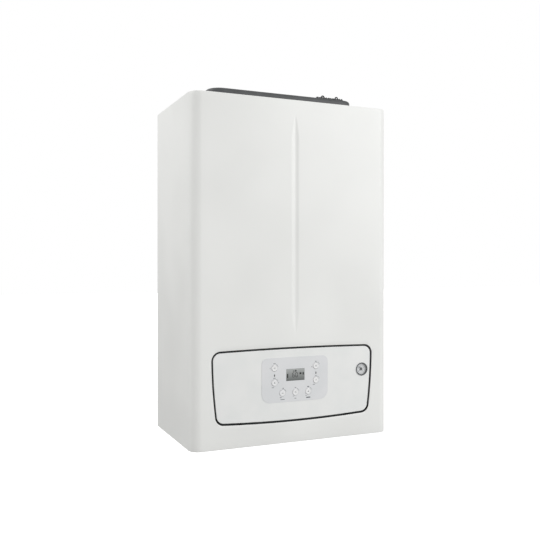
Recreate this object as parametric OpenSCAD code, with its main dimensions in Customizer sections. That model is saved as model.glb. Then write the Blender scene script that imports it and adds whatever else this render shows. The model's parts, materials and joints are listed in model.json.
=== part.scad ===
// Wall-hung condensing boiler with a premix burner assembly.
// Origin: middle of the width, on the wall plane, level with the casing's bottom edge.
// The wall is the plane y = 0 and the front faces -Y. Names ending in _y are
// distances from the wall, so a piece at such a distance lies at y = -distance.

/* [Casing] */
// Width over the side panels
casing_w = 440; // [420:1:540]
// Height of the casing
casing_h = 700; // [680:1:840]
// Distance from the wall to the front face
casing_d = 265; // [265:1:330]
// Outside radius of the front cover's two upright corners
corner_r = 21; // [12:1:21]
// Sheet thickness of the front cover
cover_t = 1.2; // [0.8:0.1:1.5]
// Sheet thickness of the side panels
panel_t = 1; // [0.8:0.1:1.5]
// Sheet thickness of the rear frame, top plate and base plate
frame_t = 1.2; // [0.8:0.1:2]
// Depth of the rear frame's side flanges
frame_flange = 30; // [20:1:45]
// Width of the side panels' front returns
return_w = 14; // [8:1:18]
// Height of the base plate above the casing's bottom edge
base_rise = 22; // [20:1:28]

/* [Front cover] */
// Width of the pressed centre groove
groove_w = 18; // [8:0.5:20]
// Depth of the pressed centre groove
groove_depth = 1.3; // [0.8:0.1:1.6]
// Height of the groove's lower end
groove_bottom = 222; // [215:1:300]
// Distance from the casing's top to the groove's upper end
groove_top_gap = 34; // [25:1:120]
// Height of the two cover clips
clip_h = 4.4; // [3:0.1:8]
// Depth of the two cover clips
clip_d = 2.4; // [2:0.1:4]
// Width of the two cover clips
clip_w = 8; // [5:0.5:12]

/* [Panel opening] */
// Half width between the upper corner centres
open_top_x = 161.5; // [140:0.5:162]
// Height of the upper corner centres
open_top_z = 174; // [160:0.5:180]
// Half width between the lower corner centres
open_low_x = 154; // [135:0.5:155]
// Height of the lower corner centres
open_low_z = 66; // [66:0.5:72]
// Corner radius of the opening
open_r = 19; // [16:0.5:19]
// Rise of the opening's upper edge in the middle
open_top_bulge = 2; // [0:0.1:3]
// Drop of the opening's lower edge in the middle
open_low_bulge = 4.3; // [0:0.1:4.3]
// Outward bulge of the opening's side edges
open_side_bulge = 1.5; // [0:0.1:2]
// Gap between the opening and the fascia
fascia_gap = 4; // [3:0.1:5]
// Gap between the opening and the panel's sealing lip
lip_gap = 1.5; // [1.2:0.1:2]
// Height at which the sealing lip's two ends stop
lip_end_z = 62; // [60:1:75]

/* [Control panel] */
// Distance of the fascia's face behind the cover's face
fascia_set = 1; // [0.5:0.1:2]
// Thickness of the fascia
fascia_t = 2.5; // [2:0.1:3]
// Width of the control box
box_w = 272; // [240:1:274]
// Height of the control box's underside
box_low_z = 58; // [56:1:64]
// Height of the control box's upper side
box_top_z = 174; // [150:1:174]
// Depth of the control box behind the fascia
box_d = 63; // [40:1:63]
// Wall of the control box
box_t = 2; // [1.5:0.1:3]
// Height of the panel's hinge axis
hinge_z = 40; // [38:0.5:41]
// Distance of the hinge axis behind the cover's face
hinge_set = 5.5; // [5.5:0.1:6]
// Radius of the hinge pins
hinge_pin_r = 1.9; // [1.5:0.1:2]
// Half distance between the hinge arms
hinge_x = 120; // [100:1:125]
// Thickness of the hinge arms and ears
hinge_t = 4; // [3:0.5:5]
// Reach of the goose-neck arm behind the hinge axis
neck_reach = 12; // [11:0.5:14]

/* [Display membrane] */
// Width of the membrane
membrane_w = 149; // [130:1:170]
// Height of the membrane
membrane_h = 91; // [85:1:96]
// Height of the membrane's centre
membrane_z = 129; // [126:1:131]
// Thickness of the membrane
membrane_t = 0.6; // [0.4:0.1:0.8]
// Upper corner radius of the membrane
membrane_r = 12; // [8:0.5:16]
// How much each lower corner of the membrane is drawn in
membrane_taper = 3; // [0:0.5:6]
// Width of the display glass
lcd_w = 41; // [36:0.5:46]
// Height of the display glass
lcd_h = 24; // [20:0.5:26]
// Height of the display's centre
lcd_z = 138; // [136:0.5:140]
// Radius of the button caps
button_r = 6.4; // [5:0.1:7.5]
// Travel of the button caps
button_travel = 1; // [0.6:0.1:1.2]
// How far the button caps stand proud of the fascia
button_proud = 1.7; // [1.2:0.1:2]
// Radius of the button stems
stem_r = 2; // [1.5:0.1:2.5]
// Distance from the centre to the two side columns of buttons
button_side_x = 46.7; // [42:0.1:52]
// Heights of the side columns' upper and lower buttons
button_side_z = [153.5, 124];
// Spacing of the three buttons in the bottom row
button_row_x = 29; // [20:0.5:32]
// Height of the bottom row of buttons
button_row_z = 102; // [100:0.5:106]

/* [Pressure gauge] */
// Distance of the gauge's centre from the middle
gauge_x = 156; // [152:1:156]
// Height of the gauge's centre
gauge_z = 140; // [125:0.5:145]
// Outer radius of the gauge's bezel
gauge_r = 14; // [12:0.5:16]
// Depth of the gauge's case behind the fascia's face
gauge_d = 24; // [16:1:40]

/* [Top hood and flue] */
// Width of the hood
hood_w = 330; // [300:1:360]
// Distance from the wall to the hood's front
hood_front_y = 212; // [190:1:220]
// Distance from the wall to the hood's back
hood_back_y = 34; // [20:1:40]
// Height of the hood
hood_h = 24; // [22:1:26]
// Wall of the hood
hood_t = 2.5; // [2:0.1:3]
// Plan corner radius of the hood
hood_r = 14; // [8:1:20]
// Radius of the hood's upper edges
hood_edge_r = 6; // [3:0.5:8]
// Distance from the wall to the flue's axis
flue_y = 115; // [112:1:118]
// Radius of the air pipe that the outer socket takes
air_pipe_r = 50; // [50:0.5:51]
// Radius of the flue pipe that the inner socket takes
flue_pipe_r = 30; // [30:0.5:31]
// Wall of both sockets
socket_t = 2; // [1.8:0.1:2.5]
// Height of the outer socket's mouth above the casing
collar_rise = 29; // [28:1:31]
// Height of the inner socket's mouth above the casing
inner_rise = 8; // [6:1:9]
// Positions of the two sampling caps across the hood
sampling_x = [102, 136];
// Distance from the wall to the sampling caps
sampling_y = 186; // [178:1:188]

/* [Heat exchanger and burner] */
// Position of the exchanger's axis across the casing
cell_x = 20; // [18:1:24]
// Distance from the casing's top to the exchanger's axis
cell_drop = 200; // [190:1:215]
// Outer radius of the exchanger's shell
cell_r = 105; // [100:1:106]
// Wall of the exchanger's shell
cell_t = 4; // [3:0.5:5]
// Distance from the wall to the shell's back
cell_back_y = 72; // [71.5:0.5:76]
// Depth of the shell
cell_d = 118; // [112:1:118]
// Distance from the shell's outside in to the centre of the coil's turns
coil_edge = 23; // [21:1:29]
// Tube radius of the coil
coil_tube_r = 5.5; // [4:0.1:6]
// Number of turns in the coil
coil_turns = 8; // [6:1:8]
// Pitch of the coil's turns
coil_pitch = 10.4; // [10.2:0.1:10.6]
// Thickness of the burner door's disc
door_t = 12; // [8:1:14]
// Depth of the mixture duct on the door
duct_d = 34; // [28:1:36]
// Wall of the mixture duct
duct_t = 3; // [2:0.5:4]
// Radius of the burner tube
burner_r = 32; // [26:1:34]
// Length of the burner tube
burner_l = 92; // [70:1:100]
// Distance from the shell's outside in to the door studs' centres
stud_edge = 8; // [7:0.5:10]
// Width of the ring at the shell's mouth that the studs screw into
mouth_ring = 15; // [13:1:16]
// Distance from the shell's outside in to the edge of the door's insulation
insulation_edge = 31; // [30:1:34]
// Number of door studs
stud_count = 6; // [6:6]
// Radius of the door studs
stud_r = 2.9; // [2.4:0.1:3]

/* [Fan and gas train] */
// Position of the fan's axis across the casing
fan_x = -145; // [-146:1:-144]
// Outer radius of the fan's volute
fan_r = 58; // [54:1:58]
// Depth of the fan's volute
fan_d = 42; // [38:1:42]
// Wall of the fan's volute
fan_t = 2.5; // [2:0.5:3]
// Radius of the impeller
impeller_r = 47; // [40:1:48]
// Radius of the fan's shaft
shaft_r = 4; // [3:0.1:5]
// Depth of the fan's motor
motor_d = 22; // [18:1:23]
// Length of the air and gas mixer
mixer_l = 58; // [50:1:60]
// Outer radius of the mixer
mixer_r = 32; // [30:1:33]
// Width of the gas valve
valve_w = 74; // [60:1:78]
// Depth of the gas valve
valve_d = 78; // [60:1:82]
// Height of the gas valve
valve_h = 80; // [60:1:84]
// Radius of the gas pipe
gas_pipe_r = 8; // [6:0.5:9]

/* [Water side] */
// Radius of the expansion vessel
vessel_r = 140; // [120:1:142]
// Depth of the expansion vessel
vessel_d = 68; // [50:1:69]
// Distance from the wall to the row of connections
tail_y = 110; // [106:1:114]
// Spacing of the five connections
tail_pitch = 65; // [64:0.5:66]
// Outer radius of a 3/4 inch pipe thread
thread_34_r = 13.2; // [13.2:13.2]
// Outer radius of a 1/2 inch pipe thread
thread_12_r = 10.5; // [10.5:10.5]
// Height of the connections' lower ends
tail_end_z = 3; // [2:0.5:6]
// Height of the two brass blocks' undersides
block_z = 46; // [44:1:48]
// Height of the two brass blocks
block_h = 54; // [48:1:56]
// Depth of the two brass blocks
block_d = 60; // [54:1:62]
// Radius of the flow and return pipes
water_pipe_r = 9; // [7:0.5:10]
// Radius of the diverter's stem
spindle_r = 3; // [2.5:0.1:4]
// Radius of the pump's housing
pump_r = 42; // [38:1:44]

/* [Clearances] */
// Gap between sheets that lie side by side
sheet_gap = 0.3; // [0.2:0.1:0.5]
// Gap between the front cover and the side panels
cover_gap = 0.4; // [0.3:0.1:0.6]
// Radial gap of a running shaft in its bearing
running_gap = 0.05; // [0.03:0.01:0.08]
// Radial gap round a sliding button cap
cap_gap = 0.4; // [0.3:0.05:0.6]
// Radial gap of a pipe in its socket
socket_gap = 0.15; // [0.1:0.01:0.2]
// Radial gap of a screw in its hole
screw_gap = 0.25; // [0.2:0.05:0.4]

/* [Hidden] */
$fn = 64;
cut = 1;
elbow_swell = 0.6;

half_w = casing_w / 2;
inner_x = half_w - panel_t - sheet_gap;
joint_y = casing_d - corner_r;
panel_end_y = joint_y - cover_gap;
plate_end_y = panel_end_y - panel_t - sheet_gap;

groove_r = (pow(groove_w / 2, 2) + pow(groove_depth, 2)) / (2 * groove_depth);
groove_y = casing_d + groove_r - groove_depth;
groove_top = casing_h - groove_top_gap;

fascia_y = casing_d - fascia_set;
fascia_back_y = fascia_y - fascia_t;
box_back_y = fascia_back_y - box_d;
thread_end_z = base_rise - 0.5;
hinge_y = casing_d - hinge_set;
neck_y = hinge_y - neck_reach;
neck_t = 5;
sill_y = hinge_y - 1;
ear_x = hinge_x + hinge_t / 2 + 3;
ear_t = 3;

board_t = 1.6;
board_y = fascia_back_y - 13.5;
button_back_y = fascia_back_y + button_travel + 0.2;
guide_t = 3.5;
switch_gap = 0.2;
stem_end_y = board_y + 3.9 + button_travel + switch_gap;
BUTTONS = [
    [-button_side_x, button_side_z[0]], [-button_side_x, button_side_z[1]],
    [-button_row_x, button_row_z], [0, button_row_z], [button_row_x, button_row_z],
    [button_side_x, button_side_z[1]], [button_side_x, button_side_z[0]]
];

hood_top = casing_h + hood_h;
intake_x0 = fan_x - 13;
intake_x1 = fan_x + 40;
intake_y0 = 100;
intake_y1 = 150;
collar_top = casing_h + collar_rise;
inner_top = casing_h + inner_rise;
air_bore_r = air_pipe_r + socket_gap;
flue_bore_r = flue_pipe_r + socket_gap;
duct_r = flue_pipe_r + 1;
socket_floor = casing_h - 22;

cell_z = casing_h - cell_drop;
cell_front_y = cell_back_y + cell_d;
door_front_y = cell_front_y + door_t;
duct_front_y = door_front_y + duct_d;
duct_low_z = cell_z + 28;
duct_high_z = cell_z + fan_r;
duct_end_x = fan_x + 68;
coil_start_y = cell_back_y + 14;
coil_r = cell_r - coil_edge;
stud_circle_r = cell_r - stud_edge;
stub_z = cell_z - 102;
flow_x = cell_x - 80;
flow_y = 90;
return_x = cell_x + 80;
return_y = 120;
drain_x = cell_x + 40;
drain_y = 86;
electrode_x = [cell_x + cell_r - 71, cell_x + cell_r - 61];
electrode_z = [cell_z - 44, cell_z + 34];

fan_back_y = cell_front_y;
fan_front_y = fan_back_y + fan_d;
motor_front_y = fan_front_y + motor_d;
mixer_back_y = fan_back_y - mixer_l;
gas_port_y = fan_back_y - 30;
valve_top_z = cell_z - 90;
valve_low_z = valve_top_z - valve_h;
valve_in_x = fan_x - 4;
gas_turn_z = valve_low_z - 50;

vessel_z = casing_h - 220;
arm_x = max(cell_x + cell_r, vessel_r) + 4;
block_top_z = block_z + block_h;
block_back_y = tail_y - block_d / 2;
block_front_y = tail_y + block_d / 2;
supply_x0 = -150;
supply_x1 = -45;
return_x0 = 50;
return_x1 = 152;
divert_x = -100;
pump_x = 119;
pump_z = block_top_z + pump_r + 10;
pump_back_y = 92;
pump_front_y = 134;
trap_x = half_w - 42;
trap_y = 44;
trap_r = 26;
outlet_r = 10;
TAILS = [
    [-2 * tail_pitch, thread_34_r], [-tail_pitch, thread_12_r], [0, thread_34_r],
    [tail_pitch, thread_12_r], [2 * tail_pitch, thread_34_r]
];

bracket_z = casing_h - 58;
bracket_w = 180;
bracket_h = 24;
bracket_hole_x = 75;
bracket_hole_r = 4.25;
pocket_d = 9;

// A box between two corners
module block(x0, x1, y0, y1, z0, z1)
    translate([min(x0, x1), min(y0, y1), min(z0, z1)])
        cube([abs(x1 - x0), abs(y1 - y0), abs(z1 - z0)]);

// Cylinders along each axis; the first two values place the centre line
module along_x(y, z, r, x0, x1)
    translate([min(x0, x1), y, z]) rotate([0, 90, 0]) cylinder(r = r, h = abs(x1 - x0));
module along_y(x, z, r, y0, y1)
    translate([x, max(y0, y1), z]) rotate([90, 0, 0]) cylinder(r = r, h = abs(y1 - y0));
module along_z(x, y, r, z0, z1)
    translate([x, y, min(z0, z1)]) cylinder(r = r, h = abs(z1 - z0));

module ring_y(x, z, r_out, r_in, y0, y1)
    difference() {
        along_y(x, z, r_out, y0, y1);
        along_y(x, z, r_in, min(y0, y1) - cut, max(y0, y1) + cut);
    }
module ring_z(x, y, r_out, r_in, z0, z1)
    difference() {
        along_z(x, y, r_out, z0, z1);
        along_z(x, y, r_in, min(z0, z1) - cut, max(z0, z1) + cut);
    }

module both_sides() {
    children();
    mirror([1, 0, 0]) children();
}

// A rounded rectangle from squares and circles
module rounded(x0, x1, y0, y1, r) {
    translate([x0 + r, y0]) square([x1 - x0 - 2 * r, y1 - y0]);
    translate([x0, y0 + r]) square([x1 - x0, y1 - y0 - 2 * r]);
    for (x = [x0 + r, x1 - r], y = [y0 + r, y1 - r]) translate([x, y]) circle(r);
}

// A 2D outline in X and Z, extruded between two distances from the wall
module upright(y0, y1)
    translate([0, -min(y0, y1), 0]) rotate([90, 0, 0])
        linear_extrude(abs(y1 - y0)) children();

// A round bar through a list of points, slightly swollen at its elbows
module bar(points, r) {
    for (i = [0 : len(points) - 2]) {
        d = points[i + 1] - points[i];
        translate(points[i])
            rotate([0, acos(d[2] / norm(d)), atan2(d[1], d[0])])
                cylinder(r = r, h = norm(d));
    }
    for (i = [1 : 1 : len(points) - 2]) translate(points[i]) sphere(r + elbow_swell);
}
// A pipe through a list of points, open at both ends
module pipe(points, r, wall) {
    last = len(points) - 1;
    start = points[0] - points[1];
    finish = points[last] - points[last - 1];
    longer = concat(
        [points[0] + start / norm(start)],
        [for (i = [1 : 1 : last - 1]) points[i]],
        [points[last] + finish / norm(finish)]);
    difference() {
        bar(points, r);
        bar(longer, r - wall);
    }
}

// Right half of the opening's outline, drawn in by a distance, from top to bottom
function open_half(inset) = concat(
    [for (t = [0 : 0.125 : 1]) let (x = t * open_top_x)
        [x, open_top_z + open_r - inset + open_top_bulge * (1 - t * t)]],
    [for (a = [80 : -10 : 0])
        [open_top_x + (open_r - inset) * cos(a), open_top_z + (open_r - inset) * sin(a)]],
    [for (t = [0.125 : 0.125 : 0.875])
        [open_top_x + (open_low_x - open_top_x) * t + open_r - inset
            + open_side_bulge * (1 - pow(2 * t - 1, 2)),
         open_top_z + (open_low_z - open_top_z) * t]],
    [for (a = [0 : -10 : -80])
        [open_low_x + (open_r - inset) * cos(a), open_low_z + (open_r - inset) * sin(a)]],
    [for (t = [1 : -0.125 : 0]) let (x = t * open_low_x)
        [x, open_low_z - open_r + inset - open_low_bulge * (1 - t * t)]]);

module open_outline(inset) {
    half = open_half(inset);
    polygon(concat(half, [for (i = [len(half) - 2 : -1 : 1]) [-half[i][0], half[i][1]]]));
}

// Plan of the front cover, drawn in by a distance
module cover_plan(inset) {
    r = corner_r - inset;
    corner_x = half_w - corner_r;
    translate([-corner_x, -joint_y - r]) square([2 * corner_x, r]);
    both_sides() intersection() {
        translate([corner_x, -joint_y]) circle(r);
        translate([corner_x - cut, -casing_d]) square([corner_r + cut, corner_r]);
    }
}

// Round-ended bar in front of the cover that presses the centre groove into it
module groove_bar(r) translate([0, -groove_y, 0]) rotate_extrude() intersection() {
    union() {
        translate([0, groove_bottom]) square([r, groove_top - groove_bottom]);
        for (z = [groove_bottom, groove_top]) translate([0, z]) circle(r);
    }
    translate([0, groove_bottom - r - cut])
        square([r + cut, groove_top - groove_bottom + 2 * r + 2 * cut]);
}

module rear_frame() color("gainsboro") {
    pocket_low = bracket_z - 6;
    pocket_high = bracket_z + bracket_h + 14;
    pocket_x = bracket_w / 2 + 8;
    difference() {
        block(-inner_x, inner_x, 0, -frame_t, 0, casing_h - frame_t - sheet_gap);
        block(-pocket_x, pocket_x, cut, -frame_t - cut, pocket_low, pocket_high);
    }
    both_sides()
        block(inner_x - frame_t, inner_x, -frame_t, -frame_flange,
            base_rise + frame_t + sheet_gap, casing_h - frame_t - sheet_gap);
    // Pressed pocket for the wall bracket, with the lip that hangs on it
    difference() {
        block(-pocket_x - frame_t, pocket_x + frame_t, -frame_t, -pocket_d - frame_t,
            pocket_low - frame_t, pocket_high + frame_t);
        block(-pocket_x, pocket_x, cut, -pocket_d, pocket_low, pocket_high);
    }
    block(-bracket_w / 2, bracket_w / 2, -2.3, -4.2, bracket_z + bracket_h - 2, pocket_high);
    // Arm that carries the heat exchanger
    block(arm_x, arm_x + 16, -frame_t, -cell_back_y - 50, cell_z - 10, cell_z + 10);
}

module wall_bracket() color("silver") {
    lip_z = bracket_z + bracket_h - 2;
    difference() {
        block(-bracket_w / 2, bracket_w / 2, 0, -2, bracket_z, lip_z);
        for (x = [-bracket_hole_x, bracket_hole_x])
            along_y(x, bracket_z + bracket_h / 2, bracket_hole_r, cut, -2 - cut);
    }
    block(-bracket_w / 2, bracket_w / 2, 0, -6, lip_z - 2, lip_z);
    block(-bracket_w / 2, bracket_w / 2, -4.5, -6, lip_z - 2, lip_z + 6);
}

module side_panel() {
    block(half_w - panel_t, half_w, 0, -panel_end_y, 0, casing_h);
    block(half_w - return_w, half_w - panel_t, -panel_end_y + panel_t, -panel_end_y,
        2, casing_h - 3);
}
module side_panel_left() color("whitesmoke") mirror([1, 0, 0]) side_panel();
module side_panel_right() color("whitesmoke") side_panel();

module top_plate() color("gainsboro") difference() {
    union() {
        block(-inner_x, inner_x, 0, -plate_end_y, casing_h - frame_t, casing_h);
        block(-inner_x + return_w + 4, inner_x - return_w - 4, -plate_end_y + frame_t,
            -plate_end_y, casing_h - 12, casing_h);
    }
    along_z(0, -flue_y, flue_bore_r + socket_t + 12, casing_h - 3, casing_h + cut);
    // Air intake above the silencer
    block(intake_x0, intake_x1, -intake_y0, -intake_y1, casing_h - 3, casing_h + cut);
}

module base_plate() color("#3a3d40") difference() {
    union() {
        // Sill that closes the gap under the control panel
        difference() {
            upright(sill_y - frame_t, sill_y) difference() {
                translate([-open_low_x - 14, base_rise])
                    square([2 * open_low_x + 28, open_low_z - base_rise - 3]);
                open_outline(fascia_gap - 0.7);
            }
            both_sides()
                block(hinge_x - 6, ear_x - 0.1, -sill_y - cut, -sill_y + frame_t + cut,
                    base_rise + frame_t, open_low_z);
        }
        block(-open_low_x - 14, open_low_x + 14, -plate_end_y + 0.1, -sill_y,
            base_rise, base_rise + frame_t);
        block(-inner_x, inner_x, -frame_t - sheet_gap, -plate_end_y,
            base_rise, base_rise + frame_t);
        both_sides() {
            block(ear_x - 7, ear_x + ear_t, -plate_end_y, -hinge_y - 3.5,
                base_rise, base_rise + frame_t);
            block(ear_x, ear_x + ear_t, -hinge_y + 10, -hinge_y - 3.5,
                base_rise, hinge_z + 4.5);
        }
    }
    both_sides() along_x(-hinge_y, hinge_z, hinge_pin_r + running_gap,
        ear_x - cut, ear_x + ear_t + cut);
    for (t = TAILS)
        along_z(t[0], -tail_y, t[1] + screw_gap, base_rise - cut, base_rise + frame_t + cut);
    // Room for the filling tap and the condensate outlet
    along_z(tail_pitch * 1.5, -tail_y, 8 + screw_gap, base_rise - cut, base_rise + frame_t + cut);
    along_z(trap_x, -trap_y, outlet_r + screw_gap, base_rise - cut, base_rise + frame_t + cut);
    // Ventilation slots
    for (x = [-180 : 20 : 180])
        block(x - 5, x + 5, -180, -225, base_rise - cut, base_rise + frame_t + cut);
}

module front_cover() color("white") difference() {
    union() {
        linear_extrude(casing_h) difference() {
            cover_plan(0);
            union() {
                cover_plan(cover_t);
                translate([-half_w + cover_t, -joint_y]) square([casing_w - 2 * cover_t, cut]);
            }
        }
        for (z = [0, casing_h - cover_t])
            translate([0, 0, z]) linear_extrude(cover_t) cover_plan(0);
        intersection() {
            groove_bar(groove_r + cover_t);
            block(-groove_w, groove_w, -casing_d + cover_t / 2, -casing_d + 3 * cover_t,
                groove_bottom - groove_w, groove_top + groove_w);
        }
    }
    upright(casing_d - 2 * cover_t, casing_d + cut) open_outline(0);
    groove_bar(groove_r);
    both_sides()
        block(half_w + cut, half_w - clip_w - 0.3, -joint_y + cut, -joint_y - clip_d - 0.6,
            -cut, clip_h + 0.6);
}

module cover_clips() color("#3a3d40")
    both_sides()
        block(half_w - 0.2, half_w - clip_w, -joint_y - 0.3, -joint_y - clip_d - 0.3,
            0.3, clip_h + 0.3);

// Box whose plan corners and upper edges are rounded
module hood_body(inset, top) intersection() {
    x = hood_w / 2 - inset;
    y0 = hood_front_y - inset;
    y1 = hood_back_y + inset;
    edge = hood_edge_r;
    translate([0, 0, casing_h]) linear_extrude(top)
        rounded(-x, x, -y0, -y1, hood_r - inset);
    upright(y1 - cut, y0 + cut) rounded(-x, x, casing_h - 3 * edge, casing_h + top, edge);
    translate([-x - cut, 0, 0]) rotate([90, 0, 90]) linear_extrude(2 * x + 2 * cut)
        rounded(-y0, -y1, casing_h - 3 * edge, casing_h + top, edge);
}

module top_hood() color("#55585c") difference() {
    hood_body(0, hood_h);
    difference() {
        hood_body(hood_t, hood_h - hood_t);
        // Bosses for the hood's screws
        for (p = HOOD_SCREWS) along_z(p[0], p[1], 5, casing_h, hood_top);
    }
    along_z(0, -flue_y, air_bore_r + socket_t + 1, casing_h - cut, hood_top + cut);
    for (p = HOOD_SCREWS) along_z(p[0], p[1], 1.9, casing_h - cut, hood_top + cut);
    for (x = sampling_x) along_z(x, -sampling_y, 3.2, hood_top - 8, hood_top + cut);
    // Air intake slots, one of them closed by the blanking plate
    block(intake_x0 + 12, intake_x1, -intake_y0, -intake_y1, hood_top - 8, hood_top + cut);
    block(92, 138, -intake_y0, -intake_y1, hood_top - 8, hood_top + cut);
}
HOOD_SCREWS = [for (x = [-148, 148], y = [-184, -48]) [x, y]];

module hood_screws() color("#2f3134") for (p = HOOD_SCREWS) {
    along_z(p[0], p[1], 3.6, hood_top, hood_top + 3.2);
    along_z(p[0], p[1], 1.8, casing_h + 4, hood_top);
}

module sampling_caps() color("#2b2d30") {
    for (x = sampling_x) {
        along_z(x, -sampling_y, 3, hood_top - 6, hood_top);
        along_z(x, -sampling_y, 3.4, hood_top + 3, hood_top + 9);
        // Finger hook beside the cap
        along_y(x + 3.4, hood_top + 9, 3, -sampling_y - 2, -sampling_y + 2);
    }
    // Strip that both caps stand on
    block(sampling_x[0] - 22, sampling_x[1] + 6, -sampling_y + 6, -sampling_y - 20,
        hood_top, hood_top + 3.5);
}

module intake_blank() color("#3c3f43") difference() {
    union() {
        translate([0, 0, hood_top]) linear_extrude(2.4) rounded(84, 142, -158, -92, 6);
        block(92.4, 137.6, -intake_y0 - 0.4, -intake_y1 + 0.4, hood_top - 3, hood_top);
    }
    block(96, 134, -104, -146, hood_top - 4, hood_top - 1);
}

module flue_adapter() color("#d9dadb") difference() {
    union() {
        along_z(0, -flue_y, air_bore_r + socket_t, casing_h, collar_top);
        along_z(0, -flue_y, air_bore_r + socket_t + 10, casing_h, casing_h + 3);
        along_z(0, -flue_y, flue_bore_r + socket_t, socket_floor - 12, inner_top);
    }
    // Air passage, left open between the spokes
    difference() {
        union() {
            along_z(0, -flue_y, air_bore_r - 1.5, casing_h - cut, collar_top + cut);
            along_z(0, -flue_y, air_bore_r, inner_top + 1, collar_top + cut);
        }
        along_z(0, -flue_y, flue_bore_r + socket_t, casing_h - 2 * cut, inner_top);
        for (a = [0, 90]) translate([0, -flue_y, casing_h]) rotate([0, 0, a])
            translate([-air_bore_r - cut, -2, 0]) cube([2 * air_bore_r + 2 * cut, 4, inner_rise]);
    }
    along_z(0, -flue_y, flue_bore_r, socket_floor + 3, collar_top + cut);
    along_z(0, -flue_y, flue_pipe_r - 2, socket_floor - 13, socket_floor + 4);
    along_z(0, -flue_y, duct_r + socket_gap, socket_floor - 13, socket_floor);
    // Seal grooves
    along_z(0, -flue_y, air_bore_r + 1.2, collar_top - 9, collar_top - 6);
    along_z(0, -flue_y, flue_bore_r + 1.2, inner_top - 9, inner_top - 6);
}

module flue_seals() color("#1c1c1c") {
    ring_z(0, -flue_y, air_bore_r + 1.2, air_bore_r, collar_top - 9, collar_top - 6);
    ring_z(0, -flue_y, flue_bore_r + 1.2, flue_bore_r, inner_top - 9, inner_top - 6);
}

module flue_duct() color("#c9cbcc")
    ring_z(0, -flue_y, duct_r, duct_r - 1.5, cell_z + cell_r + 12, socket_floor);

module exchanger_shell() color("#8f9396") difference() {
    union() {
        along_y(cell_x, cell_z, cell_r, -cell_back_y, -cell_front_y);
        along_z(0, -flue_y, flue_pipe_r + 3, cell_z + cell_r - 20, cell_z + cell_r + 12);
        along_z(flow_x, -flow_y, water_pipe_r + 2, stub_z, cell_z - 40);
        along_z(return_x, -return_y, water_pipe_r + 2, stub_z, cell_z - 40);
        along_z(drain_x, -drain_y, water_pipe_r + 2, stub_z - 6, cell_z - 80);
        // Lug on the rear frame's arm
        block(cell_x + cell_r - 8, arm_x, -cell_back_y - 6, -cell_back_y - 46,
            cell_z - 10, cell_z + 10);
    }
    // Chamber, with a thick ring left at the front for the studs
    along_y(cell_x, cell_z, cell_r - cell_t, -cell_back_y - cell_t, -cell_front_y + 7);
    along_y(cell_x, cell_z, cell_r - mouth_ring, -cell_front_y + 8, -cell_front_y - cut);
    along_z(0, -flue_y, flue_pipe_r - 1, cell_z + cell_r - 30, cell_z + cell_r + 14);
    for (p = [[flow_x, flow_y], [return_x, return_y]])
        along_z(p[0], -p[1], water_pipe_r - 2, stub_z - cut, cell_z - 60);
    along_z(drain_x, -drain_y, water_pipe_r - 2, stub_z - 8, cell_z - 85);
    stud_places() along_y(0, 0, stud_r + screw_gap, -cell_front_y + 8, -cell_front_y - cut);
}

module stud_places()
    for (i = [0 : stud_count - 1])
        translate([cell_x + stud_circle_r * cos(i * 360 / stud_count), 0,
            cell_z + stud_circle_r * sin(i * 360 / stud_count)]) children();

module exchanger_coil() color("silver") {
    for (i = [0 : coil_turns - 1])
        translate([cell_x, -coil_start_y - i * coil_pitch, cell_z]) rotate([90, 0, 0])
            rotate_extrude() translate([coil_r, 0]) circle(coil_tube_r);
    for (s = [-1, 1])
        block(cell_x - 8, cell_x + 8, -coil_start_y + 6,
            -coil_start_y - (coil_turns - 1) * coil_pitch - 6,
            cell_z + s * (coil_r - 4), cell_z + s * (coil_r + 8));
    // Pads on the back of the shell
    for (s = [-1, 1])
        block(cell_x - 8, cell_x + 8, -cell_back_y - cell_t, -coil_start_y + 6,
            cell_z + s * (coil_r - 4), cell_z + s * (coil_r + 4));
}

module burner_door() color("#b9bcbe") difference() {
    union() {
        along_y(cell_x, cell_z, cell_r - 2, -cell_front_y, -door_front_y);
        along_y(cell_x, cell_z, 45, -door_front_y + cut, -duct_front_y);
        block(duct_end_x, cell_x, -door_front_y, -duct_front_y, duct_low_z, duct_high_z);
    }
    along_y(cell_x, cell_z, 45 - duct_t, -door_front_y + 4, -duct_front_y + duct_t);
    block(duct_end_x - cut, cell_x, -door_front_y - duct_t, -duct_front_y + duct_t,
        duct_low_z + duct_t, duct_high_z - duct_t);
    along_y(cell_x, cell_z, burner_r + socket_gap, -cell_front_y + cut, -door_front_y);
    stud_places() along_y(0, 0, stud_r + screw_gap, -cell_front_y + cut, -door_front_y - cut);
    for (i = [0, 1])
        along_y(electrode_x[i] + 14, electrode_z[i], 4 + screw_gap,
            -cell_front_y + cut, -door_front_y - cut);
}

module door_nuts() color("silver") stud_places() {
    along_y(0, 0, stud_r, -cell_front_y + 5, -door_front_y);
    translate([0, -door_front_y, 0]) rotate([90, 0, 0]) cylinder(r = 5.5, h = 5, $fn = 6);
}

module door_insulation() color("ivory") difference() {
    ring_y(cell_x, cell_z, cell_r - insulation_edge, burner_r + 1,
        -cell_front_y, -cell_front_y + 12);
    for (i = [0, 1])
        along_y(electrode_x[i] + 14, electrode_z[i], 4 + screw_gap,
            -cell_front_y - cut, -cell_front_y + 13);
}

module burner_tube() color("#a9a6a0") difference() {
    along_y(cell_x, cell_z, burner_r, -door_front_y + 4, -cell_front_y + burner_l);
    along_y(cell_x, cell_z, burner_r - 1, -door_front_y - cut, -cell_front_y + burner_l - 1);
    // Flame ports
    for (i = [0 : 5], a = [0 : 45 : 315])
        translate([cell_x, -cell_front_y + 20 + i * 11, cell_z]) rotate([0, a + 22 * (i % 2), 0])
            translate([0, 0, burner_r - 4]) cylinder(r = 1.6, h = 6);
}

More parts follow.
